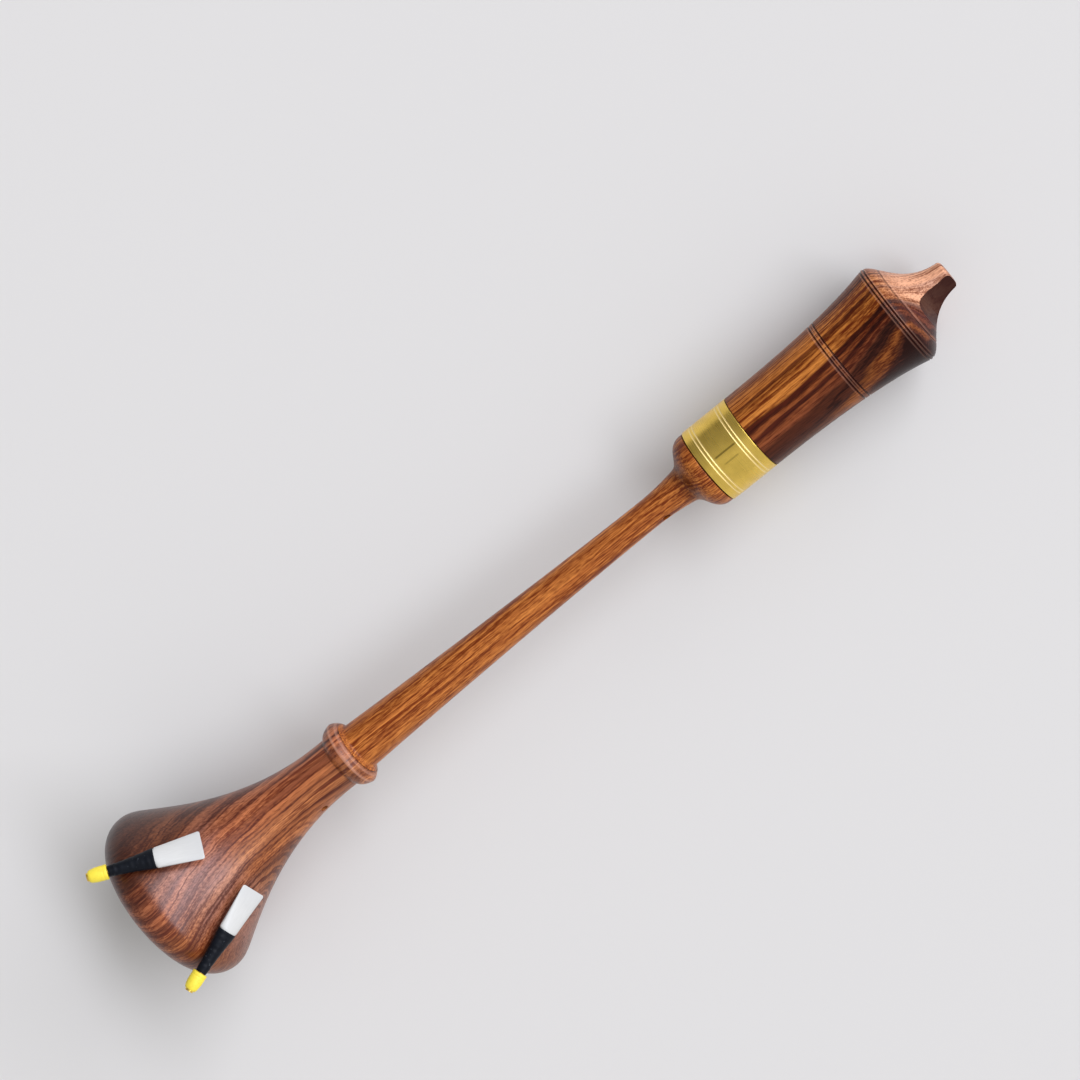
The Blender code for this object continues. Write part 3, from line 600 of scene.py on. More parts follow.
def satin_brass():
    """Brass tube, turned and rubbed satin: fine rings from the lathe, a thin olive tarnish, a painted
    reflection of a dark line along the top, and painted highlights along its fine lines.
    """
    finish, tree, shader = new_finish("satin_brass")
    metal = rule_on(tree, LATHE)
    # Lathe marks are about 0.05 mm apart, and are drawn 0.4 mm apart so that they show
    rings = wire(tree, "VectorMath", {0: metal, 1: (0.05, 0.05, 2.5)}, operation="MULTIPLY")
    rings = wire(tree, "TexNoise", {"Vector": rings, "Scale": 1.0, "Detail": 3.0, "Roughness": 0.6})
    clouds = wire(tree, "TexNoise", {"Vector": metal, "Scale": 0.11, "Detail": 4.0, "Roughness": 0.6})
    tarnish = wire(tree, "MapRange", {0: clouds, 1: 0.42, 2: 0.72, 4: 0.6})
    colour = {0: tarnish, 6: srgb("#f2cd63"), 7: srgb("#cfae4c")}
    colour = wire(tree, "Mix", colour, output=2, data_type="RGBA")
    # A painted reflection of a dark line along the top, and a shorter dark line beside it, on top and again
    # underneath: (across, half width, from and to along the lathe, depth)
    across = wire(tree, "SeparateXYZ", {0: metal}, output="Y")
    length = wire(tree, "SeparateXYZ", {0: metal}, output="Z")
    fade = 1.5
    marks = ((-0.6, 0.7, 362.0, 375.4, 0.7), (4.4, 0.6, 364.0, 373.6, 0.4))
    for place, half_width, low, high, depth in marks:
        line = wire(tree, "Math", {0: across, 1: place}, operation="SUBTRACT")
        line = wire(tree, "Math", {0: line}, operation="ABSOLUTE")
        edges = {0: line, 1: half_width, 2: 0.2 * half_width, 4: depth}
        line = wire(tree, "MapRange", edges, interpolation_type="SMOOTHSTEP")
        half_length = (high - low) / 2
        reach = wire(tree, "Math", {0: length, 1: (low + high) / 2}, operation="SUBTRACT")
        reach = wire(tree, "Math", {0: reach}, operation="ABSOLUTE")
        reach = wire(tree, "MapRange", {0: reach, 1: half_length, 2: half_length - fade})
        line = wire(tree, "Math", {0: line, 1: reach}, operation="MULTIPLY")
        colour = wire(tree, "Mix", {0: line, 6: colour, 7: srgb("#5a4a1c")}, output=2, data_type="RGBA")
    # Painted highlights along the four fine lines, paler and duller than the brass round them
    marks_and_painted_light = wire(tree, "Attribute", {}, output="Fac", attribute_name="marks_and_painted_light")
    painted_highlight = wire(tree, "Math", {0: marks_and_painted_light, 1: -1.0}, operation="MULTIPLY", use_clamp=True)
    colour = wire(tree, "Mix", {0: painted_highlight, 6: colour, 7: srgb("#f6e0a0")}, output=2, data_type="RGBA")
    tree.links.new(colour, shader.inputs["Base Color"])
    shader.inputs["Metallic"].default_value = 1.0
    gloss = wire(tree, "MapRange", {0: rings, 1: 0.3, 2: 0.7, 3: 0.24, 4: 0.36})
    gloss = wire(tree, "Math", {0: painted_highlight, 1: 0.3, 2: gloss}, operation="MULTIPLY_ADD")
    tree.links.new(gloss, shader.inputs["Roughness"])
    relief = {"Height": rings, "Strength": 0.12, "Distance": 0.03 * MM}
    tree.links.new(wire(tree, "Bump", relief), shader.inputs["Normal"])
    return finish


def bare_cork():
    """Sheet cork, sanded to fit: pale granules of 1 to 2 mm with dark specks between them."""
    finish, tree, shader = new_finish("bare_cork")
    here = wire(tree, "TexCoord", {}, output="Object")
    grains = wire(tree, "TexVoronoi", {"Vector": here, "Scale": 700.0}, output="Color")
    tint = wire(tree, "SeparateXYZ", {0: grains}, output="X")
    stops = [(0.0, "#a97f52"), (1.0, "#d3ad7c"), (0.5, "#c1965f")]
    colour = wire(tree, "ValToRGB", {0: tint}, stops=stops)
    seams = wire(tree, "TexVoronoi", {"Vector": here, "Scale": 700.0}, feature="DISTANCE_TO_EDGE")
    seams = wire(tree, "MapRange", {0: seams, 1: 0.12, 2: 0.0, 4: 0.55})
    colour = wire(tree, "Mix", {0: seams, 6: colour, 7: srgb("#6b4526")}, output=2, data_type="RGBA")
    tree.links.new(colour, shader.inputs["Base Color"])
    shader.inputs["Roughness"].default_value = 0.88
    relief = {"Height": seams, "Strength": 0.5, "Distance": -0.15 * MM}
    tree.links.new(wire(tree, "Bump", relief), shader.inputs["Normal"])
    return finish


def black_wrap():
    """Shrunk plastic tube: blue black, faintly wrinkled, with dust caught in the wrinkles."""
    finish, tree, shader = new_finish("black_shrink_tube")
    here = wire(tree, "TexCoord", {}, output="Object")
    wrinkles = wire(tree, "TexNoise", {"Vector": here, "Scale": 380.0, "Detail": 4.0, "Roughness": 0.6})
    dust = wire(tree, "TexNoise", {"Vector": here, "Scale": 900.0, "Detail": 1.0})
    dust = wire(tree, "MapRange", {0: dust, 1: 0.7, 2: 0.8, 4: 0.4})
    colour = {0: wrinkles, 6: srgb("#06070b"), 7: srgb("#0e131c")}
    colour = wire(tree, "Mix", colour, output=2, data_type="RGBA")
    colour = wire(tree, "Mix", {0: dust, 6: colour, 7: srgb("#6d7377")}, output=2, data_type="RGBA")
    tree.links.new(colour, shader.inputs["Base Color"])
    gloss = wire(tree, "MapRange", {0: wrinkles, 1: 0.3, 2: 0.7, 3: 0.38, 4: 0.55})
    tree.links.new(gloss, shader.inputs["Roughness"])
    shader.inputs["Specular IOR Level"].default_value = 0.14
    relief = {"Height": wrinkles, "Strength": 0.35, "Distance": 0.15 * MM}
    tree.links.new(wire(tree, "Bump", relief), shader.inputs["Normal"])
    return finish


def yellow_sleeve():
    """Soft yellow plastic, pushed on by hand: a satin skin with scuffs and a little grime."""
    finish, tree, shader = new_finish("yellow_plastic_sleeve")
    here = wire(tree, "TexCoord", {}, output="Object")
    scuffs = wire(tree, "TexNoise", {"Vector": here, "Scale": 420.0, "Detail": 4.0, "Roughness": 0.65})
    grime = wire(tree, "MapRange", {0: scuffs, 1: 0.5, 2: 0.75, 4: 0.5})
    colour = {0: grime, 6: srgb("#efd93e"), 7: srgb("#d6ae26")}
    tree.links.new(wire(tree, "Mix", colour, output=2, data_type="RGBA"), shader.inputs["Base Color"])
    gloss = wire(tree, "MapRange", {0: scuffs, 1: 0.3, 2: 0.7, 3: 0.4, 4: 0.58})
    tree.links.new(gloss, shader.inputs["Roughness"])
    relief = {"Height": scuffs, "Strength": 0.2, "Distance": 0.06 * MM}
    tree.links.new(wire(tree, "Bump", relief), shader.inputs["Normal"])
    return finish


def reed_plastic(name, place):
    """White plastic reed, filed lengthwise: fine scrape lines and a slightly greyer scraped tip."""
    finish, tree, shader = new_finish(name)
    reed = rule_on(tree, place)
    scraped_from = 44.0
    # File marks are about 0.1 mm apart, and are drawn 0.4 mm apart so that they show
    marks = wire(tree, "VectorMath", {0: reed, 1: (2.4, 2.4, 0.07)}, operation="MULTIPLY")
    marks = wire(tree, "TexNoise", {"Vector": marks, "Scale": 1.0, "Detail": 3.0, "Roughness": 0.55})
    along = wire(tree, "SeparateXYZ", {0: reed}, output="Z")
    scrape = {0: along, 1: scraped_from, 2: REED_LENGTH, 4: 0.5}
    tip = wire(tree, "MapRange", scrape, interpolation_type="SMOOTHSTEP")
    colour = wire(tree, "Mix", {0: marks, 6: srgb("#d0cfcb"), 7: srgb("#c0bfba")}, output=2, data_type="RGBA")
    colour = wire(tree, "Mix", {0: tip, 6: colour, 7: srgb("#bfbfbd")}, output=2, data_type="RGBA")
    tree.links.new(colour, shader.inputs["Base Color"])
    gloss = wire(tree, "MapRange", {0: marks, 1: 0.3, 2: 0.7, 3: 0.34, 4: 0.48})
    tree.links.new(gloss, shader.inputs["Roughness"])
    relief = {"Height": marks, "Strength": 0.2, "Distance": 0.05 * MM}
    tree.links.new(wire(tree, "Bump", relief), shader.inputs["Normal"])
    return finish


# Turned pieces

def tenon(foot, length, radius):
    """A tenon's outside from its foot to its far end, with the cork's recess."""
    low, high = foot + TENON_RING, foot + length - TENON_RING
    floor = radius - CORK_RECESS
    return [
        (foot, radius, 0.4),
        (low, radius, 0.2),
        (low, floor),
        (high, floor),
        (high, radius, 0.2),
        (foot + length, radius, 0.4),
    ]


def make_bell(wood):
    """The bell: a thick rounded lip, a long flare, a neck, a bead round the socket and a vent."""
    lip_radius, lip_turn, flare_angle = 13.4, 73.0, 19.6
    bell_radius, neck_radius, socket_radius, throat_radius = 46.9, 13.6, 10.4, 6.5
    rim_width, throat_length, vent_surface, bead_edge = 2.9, 10.0, 14.9, 131.4
    lip_crest = lip_radius * math.sin(math.radians(lip_turn))
    lip = arc((lip_crest, bell_radius - lip_radius), lip_radius, -lip_turn, flare_angle, 26)
    neck = (115.3, neck_radius)
    slope = math.radians(flare_angle)
    outline = [(*lip[0], 0.5)] + lip[1:]
    outline += curve(lip[-1], -slope, 10.1, neck, 0, 51.9, 48)
    bead_foot, crest, seam = (121.6, neck_radius), (128.4, 17.7), (STEM_FOOT - 0.1, 14.9)
    outline += [(*bead_foot, 0.5)]
    outline += curve(bead_foot, math.radians(58), 3.4, crest, math.radians(12), 2.6, 12)
    outline += curve(crest, math.radians(-14), 1.2, seam, math.radians(-52), 1.6, 8)[:-1]
    outline += [(*seam, 0.12)]
    outline += [(seam[0], socket_radius, 0.5), (SOCKET_FLOOR, socket_radius)]
    outline += [(SOCKET_FLOOR, throat_radius, 0.5)]
    mouth = (0.0, lip[0][1] - rim_width)
    throat = (SOCKET_FLOOR - throat_length, throat_radius)
    inside = curve(mouth, 0, 40.0, throat, 0, 42.0, 40)
    outline += inside[::-1] + [(*mouth, 0.8)]
    bell = turn("bell_turning", outline, BIG_SIDES)
    drill(bell, BACK_AZIMUTH, VENT, SMALL_HOLE_RADIUS, vent_surface)
    # Two pale lines on the bead, at its crest and by its edge, are painted highlights
    mark_rings(bell, inner=14.0, rings=[(crest[0], 0.8, -0.4), (bead_edge, 0.5, -0.25)])
    set_down(bell, LATHE)
    fit(bell, "bell", wood, ["bell"])


def make_chanter(wood):
    """The stem, the stock and both tenons in one turning, with the bore, reed seat and tone holes."""
    seam_radius, stock_radius, seat_bore, foot_bore = 14.5, 19.7, 2.0, 6.0
    foot = (STEM_FOOT + 3.0, 12.2)
    neck = (STOCK_FACE - 14.5, 9.2)
    waist = (neck[0] - 20.5, 7.3)
    band = (STOCK_FACE - 2.0, stock_radius)
    stem_slope, neck_slope, band_slope = math.radians(-2.6), math.radians(10.0), math.radians(5.0)
    outline = tenon(BELL_TENON_FOOT, BELL_TENON_LENGTH, BELL_TENON_RADIUS)[:-1]
    outline += [(STEM_FOOT, BELL_TENON_RADIUS), (STEM_FOOT, seam_radius, 0.12)]
    stem = curve((STEM_FOOT, seam_radius), math.radians(-50), 2.2, foot, stem_slope, 1.6, 8)
    stem += curve(foot, stem_slope, 41.0, waist, 0, 40.0, 40)
    stem += curve(waist, 0, 6.0, neck, neck_slope, 6.0, 12)
    stem += curve(neck, neck_slope, 5.0, band, band_slope, 8.0, 26)
    outline += stem + [(STOCK_FACE, stock_radius, 0.6), (STOCK_FACE, CAP_TENON_RADIUS)]
    outline += tenon(STOCK_FACE, CAP_TENON_LENGTH, CAP_TENON_RADIUS)[1:]
    seat_radius = SLEEVE_RADIUS + GAP
    outline += [(TENON_TOP, seat_radius, 0.5), (REED_SEAT, seat_radius), (REED_SEAT, seat_bore)]
    outline.append((BELL_TENON_FOOT, foot_bore, 0.3))
    chanter = turn("chanter_turning", outline, STEM_SIDES)

    def stem_radius(along):
        return min(stem, key=lambda point: abs(point[0] - along))[1]

    drill(chanter, BACK_AZIMUTH, THUMB_HOLE, SMALL_HOLE_RADIUS, stem_radius(THUMB_HOLE))
    for number in range(FINGER_HOLES):
        along = blend(FIRST_FINGER_HOLE, LAST_FINGER_HOLE, number / (FINGER_HOLES - 1))
        drill(chanter, BACK_AZIMUTH + math.pi, along, FINGER_HOLE_RADIUS, stem_radius(along))
    # A dark ring in the stock's cove is painted shade
    mark_rings(chanter, inner=8.0, rings=[(STOCK_FACE - 13.0, 4.5, 0.35)])
    set_down(chanter, LATHE)
    fit(chanter, "chanter", wood, ["chanter"])


def make_cork(node, foot, length, radius, cork):
    """The cork in a tenon's recess, standing a little proud of the wood."""
    low, high = foot + TENON_RING + GAP, foot + length - TENON_RING - GAP
    inner, outer = radius - CORK_RECESS + GAP, radius + CORK_PROUD
    outline = [(low, inner), (low, outer, 0.3), (high, outer, 0.3), (high, inner)]
    piece = turn(f"{node}_sheet", outline, STEM_SIDES)
    set_down(piece, LATHE)
    fit(piece, "chanter", cork, [node])


def scoop_outline():
    """A hollow flat seen from the side: (towards the barrel from the lathe's zero, depth from the axis)."""
    tip = (-CAP_TIP, SCOOP_TIP_DEPTH)
    end = (SCOOP_LENGTH - CAP_TIP, SCOOP_END_DEPTH)
    return [tip] + curve(tip, math.radians(4.0), 10.0, end, math.pi / 2, 9.0, 36)


def scoop(cap, azimuth):
    """Cuts one hollow flat into the side of the beak."""
    flat = scoop_outline()
    beyond, wide = -CAP_TIP - 3.0, 2 * SHOULDER_RADIUS
    outline = [(beyond, flat[0][1])] + flat + [(flat[-1][0], wide), (beyond, wide)]
    draw_loop("scoop", [(depth, -SHOULDER_RADIUS, -along) for along, depth in outline])
    bpy.ops.mesh.edge_face_add()
    width = {"value": (0, 2 * SHOULDER_RADIUS * MM, 0)}
    bpy.ops.mesh.extrude_region_move(TRANSFORM_OT_translate=width)
    bpy.ops.mesh.select_all(action="SELECT")
    bpy.ops.mesh.normals_make_consistent(inside=False)
    bpy.ops.object.mode_set(mode="OBJECT")
    gouge = bpy.context.object
    gouge.matrix_world = Matrix.Rotation(azimuth, 4, "Z")
    bpy.context.view_layer.update()
    cut(cap, gouge)


def mark_rings(piece, inner, rings, kept=1.0):
    """Marks each face that lies further out than inner with dark and pale rings.

    A ring is (along, half width, depth). A depth above 0 darkens, as a scorched line or as painted shade,
    and one below 0 is a pale painted highlight, and of a highlight ring the thumb hole's side has only the
    kept share.
    """
    marks_and_painted_light = piece.data.attributes.new("marks_and_painted_light", "FLOAT", "FACE")
    for number, face in enumerate(piece.data.polygons):
        spot = face.center / MM
        if spot.xy.length < inner:
            continue
        for along, half, depth in rings:
            share = abs(spot.z - along) / half
            if share < 1:
                thumb_side = 0.5 + 0.5 * spot.y / spot.xy.length
                pale_share = blend(1.0, kept, thumb_side**2) if depth < 0 else 1.0
                marks_and_painted_light.data[number].value = depth * pale_share * (1 - share**4)


def mark_flats(cap):
    """Darkens the two hollow flats, darkest at their tips."""
    near, slack, at_tip, at_end = 0.04, 0.1, 0.98, 0.86
    lowest, shallowest = CAP_TIP - SCOOP_LENGTH - slack, SCOOP_TIP_DEPTH - slack
    flat = [Vector(point) for point in scoop_outline()]
    facing = Vector((math.cos(SCOOP_AZIMUTH), math.sin(SCOOP_AZIMUTH)))
    marks_and_painted_light = cap.data.attributes["marks_and_painted_light"]
    for number, face in enumerate(cap.data.polygons):
        spot = face.center / MM
        depth = abs(spot.xy.dot(facing))
        if spot.z > lowest and depth > shallowest:
            here = Vector((-spot.z, depth))
            if min(distance_to_line(here, *ends) for ends in zip(flat, flat[1:])) < near:
                share = (depth - shallowest) / (SCOOP_END_DEPTH - shallowest)
                marks_and_painted_light.data[number].value = blend(at_tip, at_end, share)


def distance_to_line(point, start, end):
    run = end - start
    share = max(0.0, min(1.0, (point - start).dot(run) / run.length_squared))
    return (point - start - share * run).length


def make_cap(wood):
    """The wind cap: a waisted barrel, a grooved shoulder and a beak scooped flat on two sides."""
    barrel, shoulder = (BARREL_FOOT, BARREL_RADIUS), (SHOULDER, SHOULDER_RADIUS)
    beak, beak_slope = (CAP_TIP - 2.0, BEAK_RADIUS), math.radians(-5.0)
    tip = (CAP_TIP, 3.8)
    outside = curve(barrel, 0, 43.6, shoulder, math.radians(13.5), 17.5, 60)
    outside += curve(shoulder, 0, 7.2, beak, beak_slope, 19.6, 56)
    outside += curve(beak, beak_slope, 1.3, tip, math.radians(-90), 2.2, 10)
    for along in GROOVES:
        outside = groove(outside, along, GROOVE_WIDTH, GROOVE_DEPTH)
    outside = groove(outside, FINE_LINE, FINE_LINE_WIDTH, FINE_LINE_DEPTH)
    outline = [(CAP_FOOT, FERRULE_SEAT_RADIUS), (BARREL_FOOT, FERRULE_SEAT_RADIUS), (*barrel, 0.3)]
    outline += outside
    outline += [
        (CAP_TIP, BLOW_HOLE_RADIUS, 0.8),
        (CHAMBER_END + CHAMBER_CONE, BLOW_HOLE_RADIUS),
        (CHAMBER_END, CHAMBER_RADIUS),
        (CHAMBER_FOOT, CHAMBER_RADIUS, 0.3),
        (CHAMBER_FOOT, CAP_SOCKET_RADIUS),
        (CAP_FOOT, CAP_SOCKET_RADIUS, 0.5),
    ]
    cap = turn("wind_cap_turning", outline, BIG_SIDES)
    for azimuth in (SCOOP_AZIMUTH, SCOOP_AZIMUTH + math.pi):
        scoop(cap, azimuth)
    # Pale lips beside each groove and beside the fine line are painted highlights, faint on the thumb hole's
    # side; the groove floors and the fine line are scorched dark
    lips = [(along, GROOVE_WIDTH / 2 + 0.6, -0.35) for along in GROOVES]
    floors = [(along, GROOVE_WIDTH / 2, 0.85) for along in GROOVES]
    fine_line = [(FINE_LINE + 0.7, 0.5, -0.3), (FINE_LINE, 0.4, 0.5)]
    mark_rings(cap, inner=16.0, rings=lips + floors + fine_line, kept=0.15)
    mark_flats(cap)
    set_down(cap, LATHE)
    fit(cap, "wind_cap", wood, ["wind_cap"])


def make_ferrule(brass):
    """The brass ferrule round the cap's socket, with a pair of fine lines near each edge."""
    steps, eased = 40, 0.35
    low = CAP_FOOT + GAP
    high = low + FERRULE_LENGTH
    outside = [(blend(low, high, step / steps), FERRULE_RADIUS) for step in range(steps + 1)]
    near, far = FERRULE_LINES_FROM_EDGE
    lines = (low + near, low + far, high - far, high - near)
    for along in lines:
        outside = groove(outside, along, FERRULE_LINE_WIDTH, FERRULE_LINE_DEPTH)
    outside[0], outside[-1] = (*outside[0], eased), (*outside[-1], eased)
    outline = [(low, FERRULE_BORE_RADIUS)] + outside + [(high, FERRULE_BORE_RADIUS)]
    ferrule = turn("cap_ferrule_ring", outline, BIG_SIDES)
    # Each fine line carries a painted highlight
    mark_rings(ferrule, inner=19.5, rings=[(along, 0.5, -1.0) for along in lines])
    set_down(ferrule, LATHE)
    fit(ferrule, "wind_cap", brass, ["cap_ferrule"])


# Double reeds

def staple_radius(along):
    return blend(STAPLE_FOOT_RADIUS, STAPLE_END_RADIUS, along / STAPLE_LENGTH)


def blade_half_size(along):
    """Half the depth and half the width of the closed blade pair."""
    root_depth = staple_radius(BLADE_ROOT) + GAP + BLADE_ROOT_WALL
    stations = [
        (BLADE_ROOT, root_depth, root_depth + BLADE_EDGE),
        (WRAP_END, 2.9, 4.9),
        (BLADE_SHOULDER, 2.85, 5.6),
        (REED_LENGTH - 1.0, 0.9, 7.7),
        (REED_LENGTH - 0.4, 0.85, 7.5),
        (REED_LENGTH, 0.8, 6.9),
    ]
    for low, high in zip(stations, stations[1:]):
        if along <= high[0]:
            share = (along - low[0]) / (high[0] - low[0])
            return [blend(low[place], high[place], share) for place in (1, 2)]
    return list(stations[-1][1:])


def wrap_half_size(along):
    """Half the depth and half the width of the wrap's outside."""
    cover = GAP + WRAP_WALL
    if along > BLADE_ROOT:
        return [size + cover for size in blade_half_size(along)]
    foot = staple_radius(WRAP_FOOT) + cover
    share = (along - WRAP_FOOT) / (BLADE_ROOT - WRAP_FOOT)
    return [blend(foot, size + cover, share) for size in blade_half_size(BLADE_ROOT)]


def reed_place(prefix, away):
    """A reed's frame from its solids: Z along it from the staple's foot, and X away from what it lies on."""
    centres = {}
    for part in ("sleeve", "wrap"):
        corners = [vertex.co for vertex in frame["nodes"][f"{prefix}_{part}"].data.vertices]
        centres[part] = sum(corners, Vector()) / len(corners)
    run = (centres["wrap"] - centres["sleeve"]).normalized()
    out = (away - run * away.dot(run)).normalized()
    staple = frame["nodes"][f"{prefix}_staple"].data.vertices
    reach = min((vertex.co - centres["sleeve"]).dot(run) for vertex in staple)
    foot = centres["sleeve"] + run * reach
    return Matrix.Translation(foot) @ Matrix((out, run.cross(out), run)).transposed().to_4x4()


def make_staple():
    """The staple, a thin brass tube that tapers towards the blades."""
    foot, end, eased = staple_radius(0), staple_radius(STAPLE_LENGTH), 0.12
    outline = [
        (0.0, foot, eased),
        (STAPLE_LENGTH, end, eased),
        (STAPLE_LENGTH, end - STAPLE_WALL, eased),
        (0.0, foot - STAPLE_WALL, eased),
    ]
    return turn("staple", outline, REED_SIDES)


def make_sleeve():
    """The seating sleeve, eased at its foot and with a low collar where it meets the wrap."""
    outline = [
        (SLEEVE_FOOT, SLEEVE_RADIUS - 1.1, 0.3),
        (1.9, SLEEVE_RADIUS - 0.6, 0.6),
        (4.4, SLEEVE_RADIUS - 0.1, 1.2),
        (8.2, SLEEVE_RADIUS, 0.3),
        (8.5, SLEEVE_RADIUS - 0.12, 0.15),
        (8.8, SLEEVE_RADIUS, 0.15),
        (SLEEVE_END, SLEEVE_RADIUS, 0.3),
        (SLEEVE_END, SLEEVE_BORE_RADIUS),
        (SLEEVE_FOOT, SLEEVE_BORE_RADIUS, 0.2),
    ]
    return turn("sleeve", outline, REED_SIDES)


def make_wrap():
    """The wrap, shrunk over the staple and the blades' tails: a doubled edge, then soft wrinkles."""
    steps, fold_end, film, play = 44, 14.6, 0.12, GAP / 2
    sections = []
    for step in range(steps + 1):
        along = blend(WRAP_FOOT, WRAP_END - 0.5, step / steps)
        depth, width = wrap_half_size(along)
        single = 0.0 if along < fold_end else -film
        wrinkle = 0.07 * math.sin(1.9 * along) * math.sin(0.43 * along + 1.0)
        sections.append((along, depth + single + wrinkle, width + single + wrinkle))
    depth, width = wrap_half_size(WRAP_END)
    sections += [(WRAP_END - 0.15, depth - 0.2, width - 0.2), (WRAP_END, depth - 0.3, width - 0.3)]
    for along, size_at in ((WRAP_END, WRAP_END), (BLADE_ROOT - GAP, BLADE_ROOT)):
        depth, width = blade_half_size(size_at)
        sections.append((along, depth + play, width + play))
    for along in (BLADE_ROOT - GAP, WRAP_FOOT):
        sections.append((along, staple_radius(along) + play, staple_radius(along) + play))
    return draw_tube("wrap", sections, REED_SIDES)


def make_blade(side):
    """One blade: half of a flattened tube, thin at the tip, on one side of the slit."""
    stops = [blend(BLADE_ROOT, WRAP_END, step / 6) for step in range(7)]
    stops += [(WRAP_END + BLADE_SHOULDER) / 2, BLADE_SHOULDER]
    stops += [blend(BLADE_SHOULDER, REED_LENGTH - 1.0, step / 16) for step in range(1, 17)]
    stops += [REED_LENGTH - reach for reach in (0.7, 0.4, 0.2, 0.0)]
    outer, inner = [], []
    for along in stops:
        depth, width = blade_half_size(along)
        share = (along - BLADE_ROOT) / (REED_LENGTH - BLADE_ROOT)
        wall = blend(BLADE_ROOT_WALL, BLADE_TIP_WALL, share)
        outer.append((along, depth, width))
        inner.append((along, depth - wall, width - BLADE_EDGE))
    blade = draw_tube("blade", outer + inner[::-1], REED_SIDES)
    bpy.ops.object.mode_set(mode="EDIT")
    bpy.ops.mesh.select_all(action="SELECT")
    slit = (side * BLADE_SLIT / 2 * MM, 0, 0)
    bpy.ops.mesh.bisect(plane_co=slit, plane_no=(side, 0, 0), clear_inner=True)
    close_seams()
    bpy.ops.mesh.fill_holes(sides=0)
    bpy.ops.object.mode_set(mode="OBJECT")
    return blade


def make_reeds(brass, sleeve_finish, wrap_finish):
    """Models one double reed and sets a copy of it in the seat and at each spare's place."""
    parts = {
        "staple": (make_staple(), "brass"),
        "sleeve": (make_sleeve(), "yellow_sleeve"),
        "wrap": (make_wrap(), "black_wrap"),
        "blade_upper": (make_blade(1), "reed_plastic"),
        "blade_lower": (make_blade(-1), "reed_plastic"),
    }
    lifts = {joint["child"]: Vector(joint["axis"]) for joint in frame["joints"]}
    for prefix in ("reed", "spare_reed_1", "spare_reed_2"):
        away = UP if prefix == "reed" else lifts[prefix]
        place = reed_place(prefix, away)
        finishes = {
            "brass": brass,
            "yellow_sleeve": sleeve_finish,
            "black_wrap": wrap_finish,
            "reed_plastic": reed_plastic(f"{prefix}_white_plastic", place),
        }
        for part, (model, slot) in parts.items():
            select_only(model)
            bpy.ops.object.duplicate(linked=False)
            piece = bpy.context.object
            piece.name = f"{prefix}_{part}_fine"
            piece.data.name = piece.name
            set_down(piece, place)
            fit(piece, prefix, finishes[slot], [f"{prefix}_{part}"])
    for model, _ in parts.values():
        bpy.data.objects.remove(model)


# The stage

def make_floor():
    """A plain pale floor just under the shawm, wide enough that its edge lies far off."""
    width, drop = 120.0, 0.2 * MM
    bpy.ops.object.select_all(action="DESELECT")
    bpy.ops.mesh.primitive_plane_add(size=width, location=(0, 0, -drop))
    floor = bpy.context.object
    floor.name = "floor"
    paint, _, shader = new_finish("pale_floor")
    shader.inputs["Base Color"].default_value = srgb("#d8d5d0")
    shader.inputs["Roughness"].default_value = 0.85
    floor.data.materials.append(paint)


def make_softbox(name, place, aim, size, power, tint):
    lamp = bpy.data.lights.new(name, "AREA")
    lamp.shape = "RECTANGLE"
    lamp.size, lamp.size_y = size
    lamp.energy = power
    lamp.color = srgb(tint)[:3]
    stand = bpy.data.objects.new(name, lamp)
    stand.visible_camera = False
    bpy.context.scene.collection.objects.link(stand)
    stand.location = place
    stand.rotation_euler = (Vector(aim) - Vector(place)).to_track_quat("-Z", "Y").to_euler()


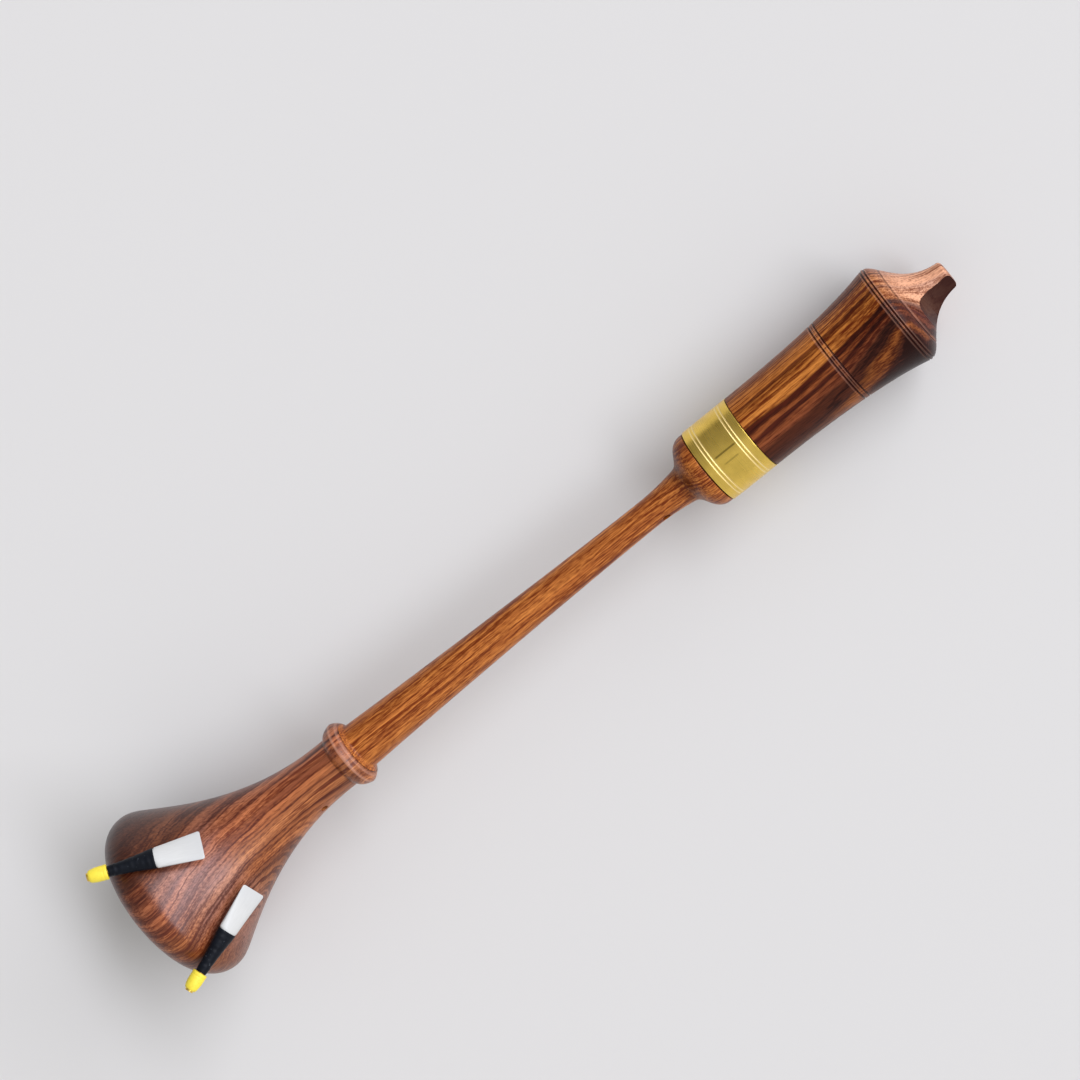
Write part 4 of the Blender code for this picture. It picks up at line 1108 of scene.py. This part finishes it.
def make_light():
    """A wide soft lamp high beyond the beak, a weaker one lower down, and a grey surround.

    The lamps are far off, so that they light the floor evenly, and the surround is paler on the thumb
    hole's side and beyond the beak.
    """
    cool_white = "#eef2ff"
    make_softbox(
        "softbox",
        place=(16.8, -3.2, 21.0),
        aim=(0.0, 0.0, 0.04),
        size=(35.2, 6.4),
        power=6400.0,
        tint=cool_white,
    )
    make_softbox(
        "low_softbox",
        place=(21.0, 2.4, 8.35),
        aim=(0.2, 0.0, 0.03),
        size=(22.4, 8.0),
        power=1792.0,
        tint=cool_white,
    )
    world = bpy.data.worlds.new("surround")
    world.use_nodes = True
    tree = world.node_tree
    way = wire(tree, "TexCoord", {}, output="Generated")
    lean = wire(tree, "VectorMath", {0: way, 1: (0.0, -1.0, 0.0)}, output="Value", operation="DOT_PRODUCT")
    lean = wire(tree, "MapRange", {0: lean, 1: -1.0, 2: 1.0})
    stops = [(0.0, "#8a8a8c"), (1.0, "#cacacc"), (0.3, "#a0a0a2"), (0.49, "#b0b0b2"), (0.56, "#cacacc")]
    shade = wire(tree, "ValToRGB", {0: lean}, stops=stops)
    ahead = wire(tree, "SeparateXYZ", {0: way}, output="X")
    ahead = wire(tree, "MapRange", {0: ahead, 1: 0.35, 2: 0.75, 4: 0.9})
    shade = wire(tree, "Mix", {0: ahead, 6: shade, 7: srgb("#ffffff")}, output=2, data_type="RGBA")
    tree.links.new(shade, tree.nodes["Background"].inputs["Color"])
    bpy.context.scene.world = world


def make_camera():
    """The view from above the beak, with the instrument laid across the picture's diagonal."""
    eye_on_lathe, target_on_lathe = Vector((1297.0, 0.0, 528.4)), Vector((0.0, -23.0, 269.2))
    eye = LATHE @ (eye_on_lathe * MM)
    target = LATHE @ (target_on_lathe * MM)
    look = (target - eye).normalized()
    run = (ALONG - look * ALONG.dot(look)).normalized()
    beside = look.cross(run)
    roll = math.radians(38.98)
    right = math.cos(roll) * run + math.sin(roll) * beside
    upright = math.sin(roll) * run - math.cos(roll) * beside
    camera = bpy.data.cameras.new("camera")
    camera.sensor_width = 36.0
    camera.lens = 91.33
    holder = bpy.data.objects.new("camera", camera)
    bpy.context.scene.collection.objects.link(holder)
    holder.matrix_world = Matrix.Translation(eye) @ Matrix((right, upright, -look)).transposed().to_4x4()
    bpy.context.scene.camera = holder


def main():
    brass, cork = satin_brass(), bare_cork()
    make_bell(bell_rosewood())
    make_chanter(stem_rosewood())
    make_cork("bell_tenon_cork", BELL_TENON_FOOT, BELL_TENON_LENGTH, BELL_TENON_RADIUS, cork)
    make_cork("cap_tenon_cork", STOCK_FACE, CAP_TENON_LENGTH, CAP_TENON_RADIUS, cork)
    make_cap(cap_rosewood())
    make_ferrule(brass)
    make_reeds(brass, yellow_sleeve(), black_wrap())
    make_floor()
    make_light()
    make_camera()
    bpy.context.scene.view_settings.view_transform = "Standard"


main()
